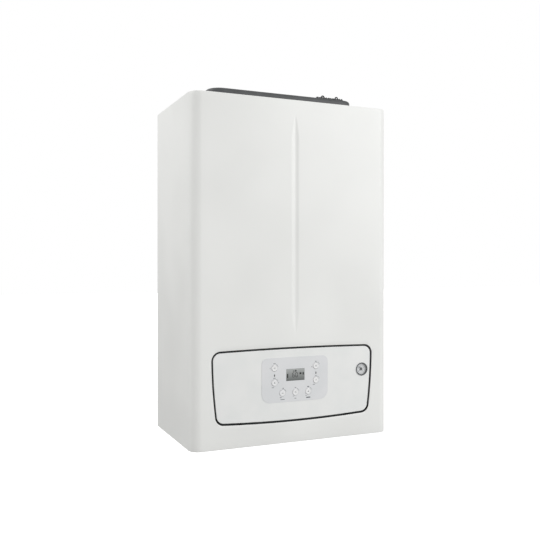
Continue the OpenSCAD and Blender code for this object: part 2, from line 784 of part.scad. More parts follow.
module electrodes() color("ivory") for (i = [0, 1]) {
    x = electrode_x[i] + 14;
    z = electrode_z[i];
    along_y(x, z, 4, -cell_front_y + 18, -door_front_y - 14);
    along_y(x, z, 6.5, -door_front_y, -door_front_y - 5);
    along_y(x, z, 1.2, -cell_front_y + 60, -cell_front_y + 17);
}

module fan_housing() color("#c4c7c9") difference() {
    union() {
        along_y(fan_x, cell_z, fan_r, -fan_back_y, -fan_front_y);
        block(fan_x, duct_end_x, -door_front_y, -fan_front_y, duct_low_z, duct_high_z);
        // Flange at the duct
        block(duct_end_x - 4, duct_end_x, -door_front_y, -duct_front_y + 0.5,
            duct_low_z - 0.5, duct_high_z + 4);
    }
    along_y(fan_x, cell_z, fan_r - fan_t, -fan_back_y - fan_t, -fan_front_y + fan_t);
    block(fan_x, duct_end_x + cut, -door_front_y - fan_t, -fan_front_y + fan_t,
        duct_low_z + fan_t, duct_high_z - fan_t);
    along_y(fan_x, cell_z, 24, -fan_back_y + cut, -fan_back_y - fan_t - cut);
    along_y(fan_x, cell_z, shaft_r + 1, -fan_front_y + fan_t + cut, -fan_front_y - cut);
}

module fan_impeller() color("#4a4d50") {
    plate_y = fan_front_y - fan_t - 4;
    eye_y = fan_back_y + fan_t + 4;
    along_y(fan_x, cell_z, impeller_r, -plate_y, -plate_y + 1.5);
    along_y(fan_x, cell_z, 9, -plate_y, -eye_y);
    along_y(fan_x, cell_z, shaft_r, -plate_y, -motor_front_y + 3);
    ring_y(fan_x, cell_z, impeller_r, 27, -eye_y - 1.5, -eye_y);
    for (a = [0 : 30 : 330])
        translate([fan_x, 0, cell_z]) rotate([0, a, 0]) translate([0, 0, 30]) rotate([0, 35, 0])
            translate([-0.8, -plate_y + 1, 0]) cube([1.6, plate_y - eye_y - 2, 15]);
}

module fan_motor() color("#2e3033") difference() {
    union() {
        along_y(fan_x, cell_z, 36, -fan_front_y, -motor_front_y);
        for (a = [90, 210, 330])
            translate([fan_x, 0, cell_z]) rotate([0, a, 0])
                block(34, 46, -fan_front_y, -fan_front_y - 4, -6, 6);
    }
    along_y(fan_x, cell_z, shaft_r + running_gap, -fan_front_y + cut, -motor_front_y + 2.5);
}

module air_gas_mixer() color("#26282a") difference() {
    union() {
        along_y(fan_x, cell_z, mixer_r, -fan_back_y, -mixer_back_y);
        along_z(fan_x, -gas_port_y, 13, valve_top_z, cell_z - mixer_r + 6);
        along_y(fan_x, cell_z, 38, -fan_back_y, -fan_back_y + 4);
    }
    along_y(fan_x, cell_z, 24, -fan_back_y - cut, -mixer_back_y + cut);
    along_z(fan_x, -gas_port_y, 7, valve_top_z - cut, cell_z);
}

module gas_valve() color("#7d8184") difference() {
    union() {
        block(fan_x - valve_w / 2, fan_x + valve_w / 2, -gas_port_y + valve_d / 2 - 8,
            -gas_port_y - valve_d / 2 - 8, valve_low_z + 16, valve_top_z - 12);
        along_z(fan_x, -gas_port_y, 16, valve_top_z - 13, valve_top_z);
        along_z(valve_in_x, -tail_y - 50, 14, valve_low_z, valve_low_z + 17);
        // Coil housing on the front
        block(fan_x - 24, fan_x + 24, -gas_port_y - valve_d / 2 - 8,
            -gas_port_y - valve_d / 2 - 30, valve_low_z + 24, valve_low_z + 56);
    }
    along_z(fan_x, -gas_port_y, 7, valve_top_z - 30, valve_top_z + cut);
    along_z(valve_in_x, -tail_y - 50, gas_pipe_r - 1, valve_low_z - cut, valve_low_z + 30);
}

module gas_pipe() color("#c9a24a")
    pipe([[0, -tail_y, block_z], [0, -tail_y, gas_turn_z - 20], [0, -tail_y - 50, gas_turn_z],
        [valve_in_x, -tail_y - 50, gas_turn_z], [valve_in_x, -tail_y - 50, valve_low_z]],
        gas_pipe_r, 1);

module air_silencer() color("#303336") difference() {
    box_z0 = cell_z + 62;
    box_z1 = casing_h - frame_t;
    union() {
        along_y(fan_x, cell_z, 30, -mixer_back_y, -mixer_back_y + 26);
        block(fan_x - 32, fan_x + 32, -mixer_back_y + 4, -mixer_back_y + 46,
            cell_z - 30, box_z0 + cut);
        block(fan_x - 50, fan_x + 48, -165, -84, box_z0, box_z1);
    }
    along_y(fan_x, cell_z, 24, -mixer_back_y - cut, -mixer_back_y + 27);
    block(fan_x - 29, fan_x + 29, -mixer_back_y + 7, -mixer_back_y + 43,
        cell_z - 27, box_z0 + 4);
    block(fan_x - 47, fan_x + 45, -162, -87, box_z0 + 3, box_z1 - 3);
    block(intake_x0 + 2, intake_x1 - 2, -intake_y0 - 2, -intake_y1 + 2, box_z1 - 4, box_z1 + cut);
}

module expansion_vessel() color("#b3362b") {
    rim = vessel_d / 2;
    along_y(0, vessel_z, vessel_r - 6, -frame_t, -frame_t - vessel_d);
    along_y(0, vessel_z, vessel_r, -frame_t - rim - 5, -frame_t - rim + 5);
    // Charging stub and the pipe down to the return block
    along_z(130, -30, 6, block_top_z, vessel_z - 60);
    block(118, 136, -24, -36, vessel_z - 62, vessel_z - 20);
    along_y(130, block_top_z + 6, 6, -30, -block_back_y);
    translate([130, -30, block_top_z + 6]) sphere(6);
}

module connection_tails() color("#c9a24a")
    for (t = TAILS) difference() {
        union() {
            along_z(t[0], -tail_y, t[1], tail_end_z, thread_end_z);
            along_z(t[0], -tail_y, t[1] - 0.3, thread_end_z, base_rise + frame_t + 4);
            translate([t[0], -tail_y, base_rise + frame_t + 4])
                cylinder(r = t[1] + 3, h = 9, $fn = 6);
            along_z(t[0], -tail_y, t[1] - 1, base_rise + frame_t + 12, block_z);
        }
        along_z(t[0], -tail_y, t[1] - 3.5, tail_end_z - cut, block_z + cut);
    }

module supply_block() color("#c9a24a") difference() {
    union() {
        block(supply_x0, supply_x1, -block_back_y, -block_front_y, block_z, block_top_z);
        along_z(divert_x, -tail_y, 19, block_top_z - cut, block_top_z + 24);
    }
    along_z(-2 * tail_pitch, -tail_y, 9, block_z - cut, block_z + 30);
    along_z(-tail_pitch, -tail_y, 7, block_z - cut, block_z + 30);
    along_z(flow_x, -flow_y, water_pipe_r - 1, block_top_z - 20, block_top_z + cut);
    // Diverter seat and the spindle's guide
    along_z(divert_x, -tail_y, 13, block_z + 10, block_top_z + 14);
    along_z(divert_x, -tail_y, spindle_r + running_gap, block_top_z + 13, block_top_z + 25);
}

module diverter_stem() color("silver") {
    along_z(divert_x, -tail_y, spindle_r, block_z + 20, block_top_z + 30);
    along_z(divert_x, -tail_y, 11, block_z + 22, block_z + 30);
}

module diverter_motor() color("#2e3033") difference() {
    union() {
        block(divert_x - 26, divert_x + 24, -tail_y + 22, -tail_y - 28,
            block_top_z + 24, block_top_z + 72);
        along_z(divert_x, -tail_y, 20, block_top_z + 70, block_top_z + 80);
    }
    along_z(divert_x, -tail_y, spindle_r + 1, block_top_z + 23, block_top_z + 44);
}

module return_block() color("#c9a24a") difference() {
    union() {
        block(return_x0, return_x1, -block_back_y, -block_front_y, block_z, block_top_z);
        along_z(pump_x, -tail_y, 16, block_top_z - cut, block_top_z + 8);
        // Filling tap
        along_z(1.5 * tail_pitch, -tail_y, 8, base_rise + frame_t + 6, block_z + cut);
    }
    along_z(tail_pitch, -tail_y, 7, block_z - cut, block_z + 30);
    along_z(2 * tail_pitch, -tail_y, 9, block_z - cut, block_z + 30);
    along_z(pump_x, -tail_y, 10, block_z + 12, block_top_z + 9);
    along_z(1.5 * tail_pitch, -tail_y, spindle_r + running_gap,
        base_rise + frame_t, block_z + 10);
}

module filling_knob() color("#2c63b0") difference() {
    union() {
        along_z(1.5 * tail_pitch, -tail_y, spindle_r, base_rise - 5, block_z + 8);
        along_z(1.5 * tail_pitch, -tail_y, 11, tail_end_z + 1, base_rise - 4);
    }
    for (a = [0 : 45 : 315])
        translate([1.5 * tail_pitch, -tail_y, 0]) rotate([0, 0, a]) translate([12.2, 0, 0])
            along_z(0, 0, 2.4, tail_end_z, base_rise - 3);
}

module plate_exchanger() color("#b08a4e") {
    x0 = supply_x0 + 50;
    x1 = return_x1 - 60;
    // Pressed plates and their end covers
    for (i = [0 : 9])
        block(x0, x1, -block_front_y - i * 4, -block_front_y - i * 4 - 3,
            block_z + 6, block_top_z + 16);
    block(x0 + 3, x1 - 3, -block_front_y - 2, -block_front_y - 38,
        block_z + 9, block_top_z + 13);
}

module pump_body() color("#3d4043") difference() {
    union() {
        along_y(pump_x, pump_z, pump_r, -pump_back_y, -pump_front_y);
        along_y(pump_x, pump_z, pump_r - 6, -pump_front_y, -pump_front_y - 42);
        along_z(pump_x, -tail_y, 15, block_top_z + 8, pump_z - pump_r + 8);
        along_z(pump_x, -tail_y, 13, pump_z + pump_r - 8, pump_z + pump_r + 14);
        block(pump_x - 24, pump_x + 24, -pump_front_y - 6, -pump_front_y - 36,
            pump_z + pump_r - 14, pump_z + pump_r - 2);
    }
    along_y(pump_x, pump_z, pump_r - 6, -pump_back_y - 5, -pump_front_y + 5);
    along_y(pump_x, pump_z, spindle_r + 1 + running_gap, -pump_front_y + 6, -pump_front_y - 36);
    along_z(pump_x, -tail_y, 9, block_top_z + 7, pump_z - pump_r + 12);
    along_z(pump_x, -tail_y, 8, pump_z + pump_r - 12, pump_z + pump_r + 15);
}

module pump_rotor() color("#c9cbcc") {
    along_y(pump_x, pump_z, spindle_r + 1, -pump_back_y - 10, -pump_front_y - 35);
    along_y(pump_x, pump_z, pump_r - 10, -pump_back_y - 11, -pump_back_y - 13);
    for (a = [0 : 60 : 300])
        translate([pump_x, 0, pump_z]) rotate([0, a, 0])
            block(8, pump_r - 11, -pump_back_y - 13, -pump_back_y - 25, -1, 1);
}

module flow_pipe() color("#b87a4b")
    pipe([[flow_x, -flow_y, block_top_z], [flow_x, -flow_y, stub_z]], water_pipe_r, 1);

module return_pipe() color("#b87a4b")
    pipe([[pump_x, -tail_y, pump_z + pump_r + 14], [pump_x, -tail_y, pump_z + pump_r + 60],
        [return_x, -return_y, pump_z + pump_r + 100], [return_x, -return_y, stub_z]],
        water_pipe_r, 1);

module safety_valve() color("#c9a24a") {
    x = return_x0 + 12;
    difference() {
        union() {
            along_z(x, -tail_y, 11, block_top_z, block_top_z + 24);
            along_x(-tail_y, block_top_z + 12, 7, x - 30, x);
        }
        along_z(x, -tail_y, spindle_r + running_gap, block_top_z + 10, block_top_z + 25);
    }
}

module safety_knob() color("#c22f26") {
    x = return_x0 + 12;
    along_z(x, -tail_y, spindle_r, block_top_z + 12, block_top_z + 26);
    difference() {
        along_z(x, -tail_y, 12, block_top_z + 24.4, block_top_z + 36);
        for (a = [0 : 60 : 300])
            translate([x, -tail_y, 0]) rotate([0, 0, a])
                along_z(13.4, 0, 3, block_top_z + 23, block_top_z + 37);
    }
}

module condensate_trap() color("#e3e4e2") difference() {
    union() {
        along_z(trap_x, -trap_y, trap_r, 44, 150);
        along_z(trap_x, -trap_y, trap_r + 2, 96, 104);
        along_z(trap_x, -trap_y, outlet_r, 6, thread_end_z);
        along_z(trap_x, -trap_y, outlet_r - 0.3, thread_end_z, 45);
        bar([[trap_x, -trap_y, 148], [trap_x, -trap_y, stub_z - 100],
            [drain_x, -drain_y, stub_z - 60], [drain_x, -drain_y, stub_z - 6]], water_pipe_r);
    }
    along_z(trap_x, -trap_y, trap_r - 3, 47, 147);
    along_z(trap_x, -trap_y, 8, 5, 48);
    bar([[trap_x, -trap_y, 140], [trap_x, -trap_y, stub_z - 100],
        [drain_x, -drain_y, stub_z - 60], [drain_x, -drain_y, stub_z - 5]], water_pipe_r - 2);
}

// Outline of the membrane: upper corners wider apart than the lower ones
function membrane_half(inset) = let (r = membrane_r - inset, w = membrane_w / 2, h = membrane_h / 2)
    concat(
        [for (a = [90 : -10 : 0])
            [w - membrane_r + r * cos(a), membrane_z + h - membrane_r + r * sin(a)]],
        [for (a = [0 : -10 : -90])
            [w - membrane_r - membrane_taper + (r + 2) * cos(a) - 2,
             membrane_z - h + membrane_r + 2 + (r + 2) * sin(a)]]);
module membrane_outline(inset) {
    half = membrane_half(inset);
    polygon(concat(half, [for (i = [len(half) - 1 : -1 : 0]) [-half[i][0], half[i][1]]]));
}

module button_places() for (b = BUTTONS) translate([b[0], 0, b[1]]) children();

module fascia() color("#f4f5f3") difference() {
    union() {
        upright(fascia_back_y, fascia_y) open_outline(fascia_gap);
        button_places()
            along_y(0, 0, button_r + cap_gap + 1.8, -fascia_back_y, -fascia_back_y + guide_t);
    }
    button_places() {
        along_y(0, 0, button_r + cap_gap, -fascia_back_y, -fascia_y - cut);
        along_y(0, 0, stem_r + 2 * running_gap, -fascia_back_y - cut, -fascia_back_y + guide_t + cut);
    }
    // Seat and window of the display
    block(-lcd_w / 2 - 0.2, lcd_w / 2 + 0.2, -fascia_back_y - 0.5, -fascia_y - cut,
        lcd_z - lcd_h / 2 - 0.2, lcd_z + lcd_h / 2 + 0.2);
    block(-lcd_w / 2 + 2, lcd_w / 2 - 2, -fascia_back_y + cut, -fascia_y,
        lcd_z - lcd_h / 2 + 2, lcd_z + lcd_h / 2 - 2);
    along_y(gauge_x, gauge_z, gauge_r - 1, -fascia_back_y + cut, -fascia_y - cut);
}

module panel_seal() color("#2c2e30") intersection() {
    upright(fascia_back_y + 0.1, fascia_y - 0.6) difference() {
        open_outline(lip_gap);
        open_outline(fascia_gap);
    }
    block(-half_w, half_w, -fascia_back_y + cut, -casing_d, lip_end_z, casing_h);
}

module control_box() color("#3a3d40") {
    x = box_w / 2;
    difference() {
        block(-x, x, -box_back_y, -fascia_back_y, box_low_z, box_top_z);
        block(-x + box_t, x - box_t, -box_back_y - box_t, -fascia_back_y - cut,
            box_low_z + box_t, box_top_z - box_t);
    }
    // Pillars for the control board
    for (sx = [-74, 74], z = [88, 170])
        along_y(sx, z, 3.5, -box_back_y - box_t, -board_y + board_t);
    // Goose-neck arms with their pins
    both_sides() {
        block(hinge_x - hinge_t / 2, hinge_x + hinge_t / 2, -neck_y + neck_t / 2,
            -neck_y - neck_t / 2, hinge_z - neck_t / 2, box_low_z);
        block(hinge_x - hinge_t / 2, hinge_x + hinge_t / 2, -neck_y - neck_t / 2 + cut,
            -hinge_y, hinge_z - neck_t / 2, hinge_z + neck_t / 2);
        along_x(-hinge_y, hinge_z, 3.4, hinge_x - hinge_t / 2, hinge_x + hinge_t / 2);
        along_x(-hinge_y, hinge_z, hinge_pin_r, hinge_x + hinge_t / 2 - cut, ear_x + ear_t);
    }
}

module membrane() color("#d6d9db") difference() {
    upright(fascia_y, fascia_y + membrane_t) membrane_outline(0);
    button_places()
        along_y(0, 0, button_r + cap_gap, -fascia_y + cut, -fascia_y - membrane_t - cut);
    block(-lcd_w / 2 - 0.2, lcd_w / 2 + 0.2, -fascia_y + cut, -fascia_y - membrane_t - cut,
        lcd_z - lcd_h / 2 - 0.2, lcd_z + lcd_h / 2 + 0.2);
}

module lcd_window() color("#8a9189")
    block(-lcd_w / 2, lcd_w / 2, -fascia_back_y - 0.5, -fascia_y - membrane_t + 0.1,
        lcd_z - lcd_h / 2, lcd_z + lcd_h / 2);

module button(i) color("#f7f8f7") translate([BUTTONS[i][0], 0, BUTTONS[i][1]]) {
    along_y(0, 0, button_r, -button_back_y, -fascia_y - button_proud);
    along_y(0, 0, stem_r, -stem_end_y, -button_back_y);
}
module button_1() button(0);
module button_2() button(1);
module button_3() button(2);
module button_4() button(3);
module button_5() button(4);
module button_6() button(5);
module button_7() button(6);

module control_board() color("#2f6b45") {
    block(-80, 80, -board_y, -board_y + board_t, 83, 174 - box_t - 1);
    button_places() along_y(0, 0, 3.2, -board_y, -board_y - 3.9);
    block(-lcd_w / 2 + 2.4, lcd_w / 2 - 2.4, -board_y, -fascia_back_y - 0.5,
        lcd_z - lcd_h / 2 + 2.4, lcd_z + lcd_h / 2 - 2.4);
    // Terminal row and relays
    for (x = [-70 : 20 : 70])
        block(x - 7, x + 7, -board_y + board_t, -board_y + board_t + 14, 98, 116);
}

module gauge_case() color("#c9ccce") difference() {
    union() {
        along_y(gauge_x, gauge_z, gauge_r - 1 - 0.2, -fascia_y + gauge_d, -fascia_y);
        along_y(gauge_x, gauge_z, gauge_r, -fascia_y, -fascia_y - 1.5);
    }
    // Dial well
    along_y(gauge_x, gauge_z, gauge_r - 2.4, -fascia_y + 4, -fascia_y - 2);
    along_y(gauge_x, gauge_z, 0.8 + running_gap, -fascia_y + 12, -fascia_y);
}

module gauge_needle() color("#1f1f1f") {
    along_y(gauge_x, gauge_z, 0.8, -fascia_y + 11, -fascia_y + 1.6);
    along_y(gauge_x, gauge_z, 2.2, -fascia_y + 3, -fascia_y + 1.6);
    translate([gauge_x, 0, gauge_z]) rotate([0, -45, 0])
        block(-0.6, 0.6, -fascia_y + 2.8, -fascia_y + 2, -3.5, 10);
}

module gauge_lens() color("#dfe6ea", 0.5)
    along_y(gauge_x, gauge_z, gauge_r - 2.4, -fascia_y, -fascia_y - 1.3);

rear_frame();
wall_bracket();
side_panel_left();
side_panel_right();
top_plate();
base_plate();
front_cover();
cover_clips();
top_hood();
flue_adapter();
flue_seals();
sampling_caps();
intake_blank();
hood_screws();
exchanger_shell();
exchanger_coil();
burner_door();
door_insulation();
door_nuts();
burner_tube();
electrodes();
fan_housing();
fan_impeller();
fan_motor();
air_gas_mixer();
gas_valve();
gas_pipe();
air_silencer();
flue_duct();
expansion_vessel();
pump_body();
pump_rotor();
plate_exchanger();
diverter_motor();
diverter_stem();
supply_block();
return_block();
flow_pipe();
return_pipe();
safety_valve();
safety_knob();
filling_knob();
condensate_trap();
connection_tails();
fascia();
panel_seal();
control_box();
membrane();
lcd_window();
button_1();
button_2();
button_3();
button_4();
button_5();
button_6();
button_7();
control_board();
gauge_case();
gauge_needle();
gauge_lens();
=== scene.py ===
"""Looks of a wall-hung condensing boiler: enamelled casing, control panel, hood and inner parts.

Shapes are worked out in millimetres and turned to the frame's metres by MM. The boiler's front
faces -Y, +Z is up and the wall is at y = 0.
"""
import json
import math

import bmesh
import bpy
from mathutils import Matrix, Vector


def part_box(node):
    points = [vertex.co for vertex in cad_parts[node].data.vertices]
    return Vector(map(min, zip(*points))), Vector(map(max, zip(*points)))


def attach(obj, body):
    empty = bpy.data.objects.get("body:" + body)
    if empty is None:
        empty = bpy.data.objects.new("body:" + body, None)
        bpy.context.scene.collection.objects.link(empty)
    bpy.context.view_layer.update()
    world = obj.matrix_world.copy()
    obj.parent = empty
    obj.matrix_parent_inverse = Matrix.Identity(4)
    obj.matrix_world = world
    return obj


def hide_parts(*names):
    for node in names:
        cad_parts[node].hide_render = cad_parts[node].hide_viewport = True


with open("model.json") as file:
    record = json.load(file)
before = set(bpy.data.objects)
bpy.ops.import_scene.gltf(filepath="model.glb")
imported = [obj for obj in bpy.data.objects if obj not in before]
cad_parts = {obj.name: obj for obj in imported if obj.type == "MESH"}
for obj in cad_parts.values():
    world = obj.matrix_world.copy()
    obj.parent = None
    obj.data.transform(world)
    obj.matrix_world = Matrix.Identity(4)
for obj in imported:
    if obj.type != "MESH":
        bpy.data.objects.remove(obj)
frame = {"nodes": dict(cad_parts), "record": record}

MM = 0.001

# How CAD nodes are cleaned before their edges are rounded: points closer than WELD (metres) are
# merged, faces within FLAT_DEG become one, and edges sharper than EDGE_DEG are rounded
WELD = 2e-6
FLAT_DEG = 0.6
EDGE_DEG = 40

SLOTS = {part["node"]: part["material_slot"] for part in frame["record"]["subparts"]}
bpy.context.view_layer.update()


# ---------------------------------------------------------------- small tools

def box_mm(node):
    """Lowest and highest corners of a node, in millimetres."""
    low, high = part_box(node)
    return [v / MM for v in low], [v / MM for v in high]


def round_mm(node):
    """A round node's centre in X and Z, its radius, and its back and front (mm from the wall)."""
    low, high = box_mm(node)
    return ((low[0] + high[0]) / 2, (low[2] + high[2]) / 2, (high[0] - low[0]) / 2,
            -high[1], -low[1])


def spread(start, end, count):
    """Evenly spaced values from start to end, in count steps."""
    return [start + (end - start) * i / count for i in range(count + 1)]


def centre_mm(node):
    low, high = box_mm(node)
    return [(a + b) / 2 for a, b in zip(low, high)]


def linear(hex_colour):
    """An sRGB hex colour as the linear values that shaders take."""
    def channel(text):
        value = int(text, 16) / 255
        return value / 12.92 if value <= 0.04045 else ((value + 0.055) / 1.055) ** 2.4
    digits = hex_colour.lstrip("#")
    return tuple(channel(digits[i:i + 2]) for i in (0, 2, 4)) + (1.0,)


def add(tree, kind, inputs=None, **settings):
    """Adds a node, sets it up, and fills its inputs with values or with links."""
    node = tree.nodes.new(kind)
    for key, value in settings.items():
        setattr(node, key, value)
    for key, value in (inputs or {}).items():
        if isinstance(value, bpy.types.NodeSocket):
            tree.links.new(value, node.inputs[key])
        else:
            node.inputs[key].default_value = value
    return node


def per_mm(size_mm):
    """Texture scale that makes one pattern cell this many millimetres."""
    return 1000.0 / size_mm


def link_object(name, mesh, material=None):
    piece = bpy.data.objects.new(name, mesh)
    bpy.context.scene.collection.objects.link(piece)
    if material:
        mesh.materials.clear()
        mesh.materials.append(material)
    return piece


def mesh_of(name, bm):
    """The mesh of a finished bmesh, which is freed."""
    mesh = bpy.data.meshes.new(name)
    bm.to_mesh(mesh)
    bm.free()
    return mesh


def mesh_of_curve(name, curve):
    """The mesh of a bevelled curve."""
    carrier = bpy.data.objects.new(name, curve)
    bpy.context.scene.collection.objects.link(carrier)
    graph = bpy.context.evaluated_depsgraph_get()
    mesh = bpy.data.meshes.new_from_object(carrier.evaluated_get(graph))
    bpy.data.objects.remove(carrier)
    return mesh


def smooth(mesh, angle_deg=32):
    mesh.shade_smooth()
    mesh.set_sharp_from_angle(angle=math.radians(angle_deg))


def even_shading(piece):
    """Keeps flat faces flat right up to their rounded rims."""
    step = piece.modifiers.new("even", "WEIGHTED_NORMAL")
    step.keep_sharp = True
    step.weight = 100
    return applied(piece)


def outward(mesh):
    """Merges doubles and turns every face outwards."""
    bm = bmesh.new()
    bm.from_mesh(mesh)
    bmesh.ops.remove_doubles(bm, verts=bm.verts, dist=1e-6)
    bmesh.ops.recalc_face_normals(bm, faces=bm.faces)
    bm.to_mesh(mesh)
    bm.free()


def applied(piece):
    """Turns an object with its modifiers into a plain mesh."""
    graph = bpy.context.evaluated_depsgraph_get()
    mesh = bpy.data.meshes.new_from_object(piece.evaluated_get(graph))
    piece.modifiers.clear()
    old = piece.data
    piece.data = mesh
    if old.users == 0:
        bpy.data.meshes.remove(old)
    return piece


def join(name, pieces):
    """One mesh from several objects; their materials come along."""
    bm = bmesh.new()
    materials = []
    for piece in pieces:
        first_slot = len(materials)
        first_face = len(bm.faces)
        materials += list(piece.data.materials)
        bm.from_mesh(piece.data)
        bm.faces.ensure_lookup_table()
        for face in bm.faces[first_face:]:
            face.material_index += first_slot
    mesh = mesh_of(name, bm)
    for piece in pieces:
        bpy.data.objects.remove(piece)
    joined = link_object(name, mesh)
    for material in materials:
        mesh.materials.append(material)
    return joined


def settle(piece, body, *replaced, slot=None):
    """Says which body a finished piece moves with and which CAD nodes it stands for."""
    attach(piece, body)
    if replaced:
        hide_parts(*replaced)
    return piece


# ---------------------------------------------------------------- solid makers

def plate(name, loops, back, front, edge, material, steps=3):
    """A flat piece from outlines in X and Z (mm); the first is the rim, the rest are holes.

    back and front are distances from the wall; edge is the radius that softens its rims.
    """
    curve = bpy.data.curves.new(name, "CURVE")
    curve.dimensions = "2D"
    curve.fill_mode = "BOTH"
    curve.extrude = (abs(front - back) / 2 - edge) * MM
    curve.bevel_depth = edge * MM
    curve.bevel_resolution = steps
    curve.offset = -edge * MM
    for loop in loops:
        spline = curve.splines.new("POLY")
        spline.points.add(len(loop) - 1)
        for point, (x, z) in zip(spline.points, loop):
            point.co = (x * MM, z * MM, 0, 1)
        spline.use_cyclic_u = True
    mesh = mesh_of_curve(name, curve)
    middle = -(back + front) / 2 * MM
    mesh.transform(Matrix.Translation((0, middle, 0)) @ Matrix.Rotation(math.pi / 2, 4, "X"))
    outward(mesh)
    smooth(mesh)
    return even_shading(link_object(name, mesh, material))


def lathe(name, profile, centre, axis, material, segments=64, closed=False):
    """A turned piece: profile is (radius, height) pairs in mm, from one end to the other.

    Along axis "Y" a height is a distance from the wall; along "Z" it is a height. A closed
    profile makes a ring.
    """
    bm = bmesh.new()
    circle_points = [(math.cos(2 * math.pi * i / segments), math.sin(2 * math.pi * i / segments))
                     for i in range(segments)]
    rings = []
    for radius, height in profile:
        if radius <= 0:
            rings.append([bm.verts.new((0, 0, height * MM))])
        else:
            rings.append([bm.verts.new((radius * MM * c, radius * MM * s, height * MM))
                          for c, s in circle_points])
    pairs = list(zip(rings, rings[1:])) + ([(rings[-1], rings[0])] if closed else [])
    for low, high in pairs:
        for i in range(segments):
            j = (i + 1) % segments
            corners = [low[i % len(low)], low[j % len(low)],
                       high[j % len(high)], high[i % len(high)]]
            corners = list(dict.fromkeys(corners))
            if len(corners) > 2:
                bm.faces.new(corners)
    for ring in (rings[0], rings[-1]):
        if len(ring) > 1 and not closed:
            bm.faces.new(ring)
    bmesh.ops.recalc_face_normals(bm, faces=bm.faces)
    mesh = mesh_of(name, bm)
    x, y, z = (v * MM for v in centre)
    if axis == "Y":
        mesh.transform(Matrix.Translation((x, 0, z)) @ Matrix.Rotation(math.pi / 2, 4, "X"))
    else:
        mesh.transform(Matrix.Translation((x, y, 0)))
    smooth(mesh)
    return link_object(name, mesh, material)


def soft_box(name, low, high, edge, material, steps=3):
    """A box between two corners (mm) with rounded edges."""
    bm = bmesh.new()
    bmesh.ops.create_cube(bm, size=1)
    for vert in bm.verts:
        for i in range(3):
            vert.co[i] = (low[i] + (high[i] - low[i]) * (vert.co[i] + 0.5)) * MM
    bmesh.ops.bevel(bm, geom=bm.edges[:], offset=edge * MM, segments=steps,
                    affect="EDGES", profile=0.5)
    mesh = mesh_of(name, bm)
    smooth(mesh, 50)
    return even_shading(link_object(name, mesh, material))


def rod(name, points, radius, material):
    """A round bar along points (mm)."""
    curve = bpy.data.curves.new(name, "CURVE")
    curve.dimensions = "3D"
    curve.bevel_depth = radius * MM
    curve.bevel_resolution = 5
    curve.use_fill_caps = True
    spline = curve.splines.new("POLY")
    spline.points.add(len(points) - 1)
    for point, place in zip(spline.points, points):
        point.co = (place[0] * MM, place[1] * MM, place[2] * MM, 1)
    mesh = mesh_of_curve(name, curve)
    outward(mesh)
    smooth(mesh)
    return link_object(name, mesh, material)


def turn_about(piece, x, z, turn_deg):
    """Turns a piece about the line through x, z (mm) that runs from the wall to the front."""
    centre = Matrix.Translation((x * MM, 0, z * MM))
    turn = Matrix.Rotation(math.radians(turn_deg), 4, "Y")
    piece.data.transform(centre @ turn @ centre.inverted())


def softened(node, material, edge_mm, name=None):
    """A copy of a CAD node with its sharp edges rounded, as the real forming leaves them."""
    mesh = frame["nodes"][node].data.copy()
    bm = bmesh.new()
    bm.from_mesh(mesh)
    bmesh.ops.remove_doubles(bm, verts=bm.verts, dist=WELD)
    bmesh.ops.dissolve_limit(bm, angle_limit=math.radians(FLAT_DEG), verts=bm.verts,
                             edges=bm.edges)
    bm.to_mesh(mesh)
    bm.free()
    piece = link_object(name or node + "_look", mesh, material)
    if edge_mm > 0:
        bevel = piece.modifiers.new("soft_edges", "BEVEL")
        bevel.width = edge_mm * MM
        bevel.segments = 2
        bevel.limit_method = "ANGLE"
        bevel.angle_limit = math.radians(EDGE_DEG)
        bevel.use_clamp_overlap = True
        applied(piece)
    smooth(piece.data, 35)
    return even_shading(piece)


# ---------------------------------------------------------------- geometry nodes

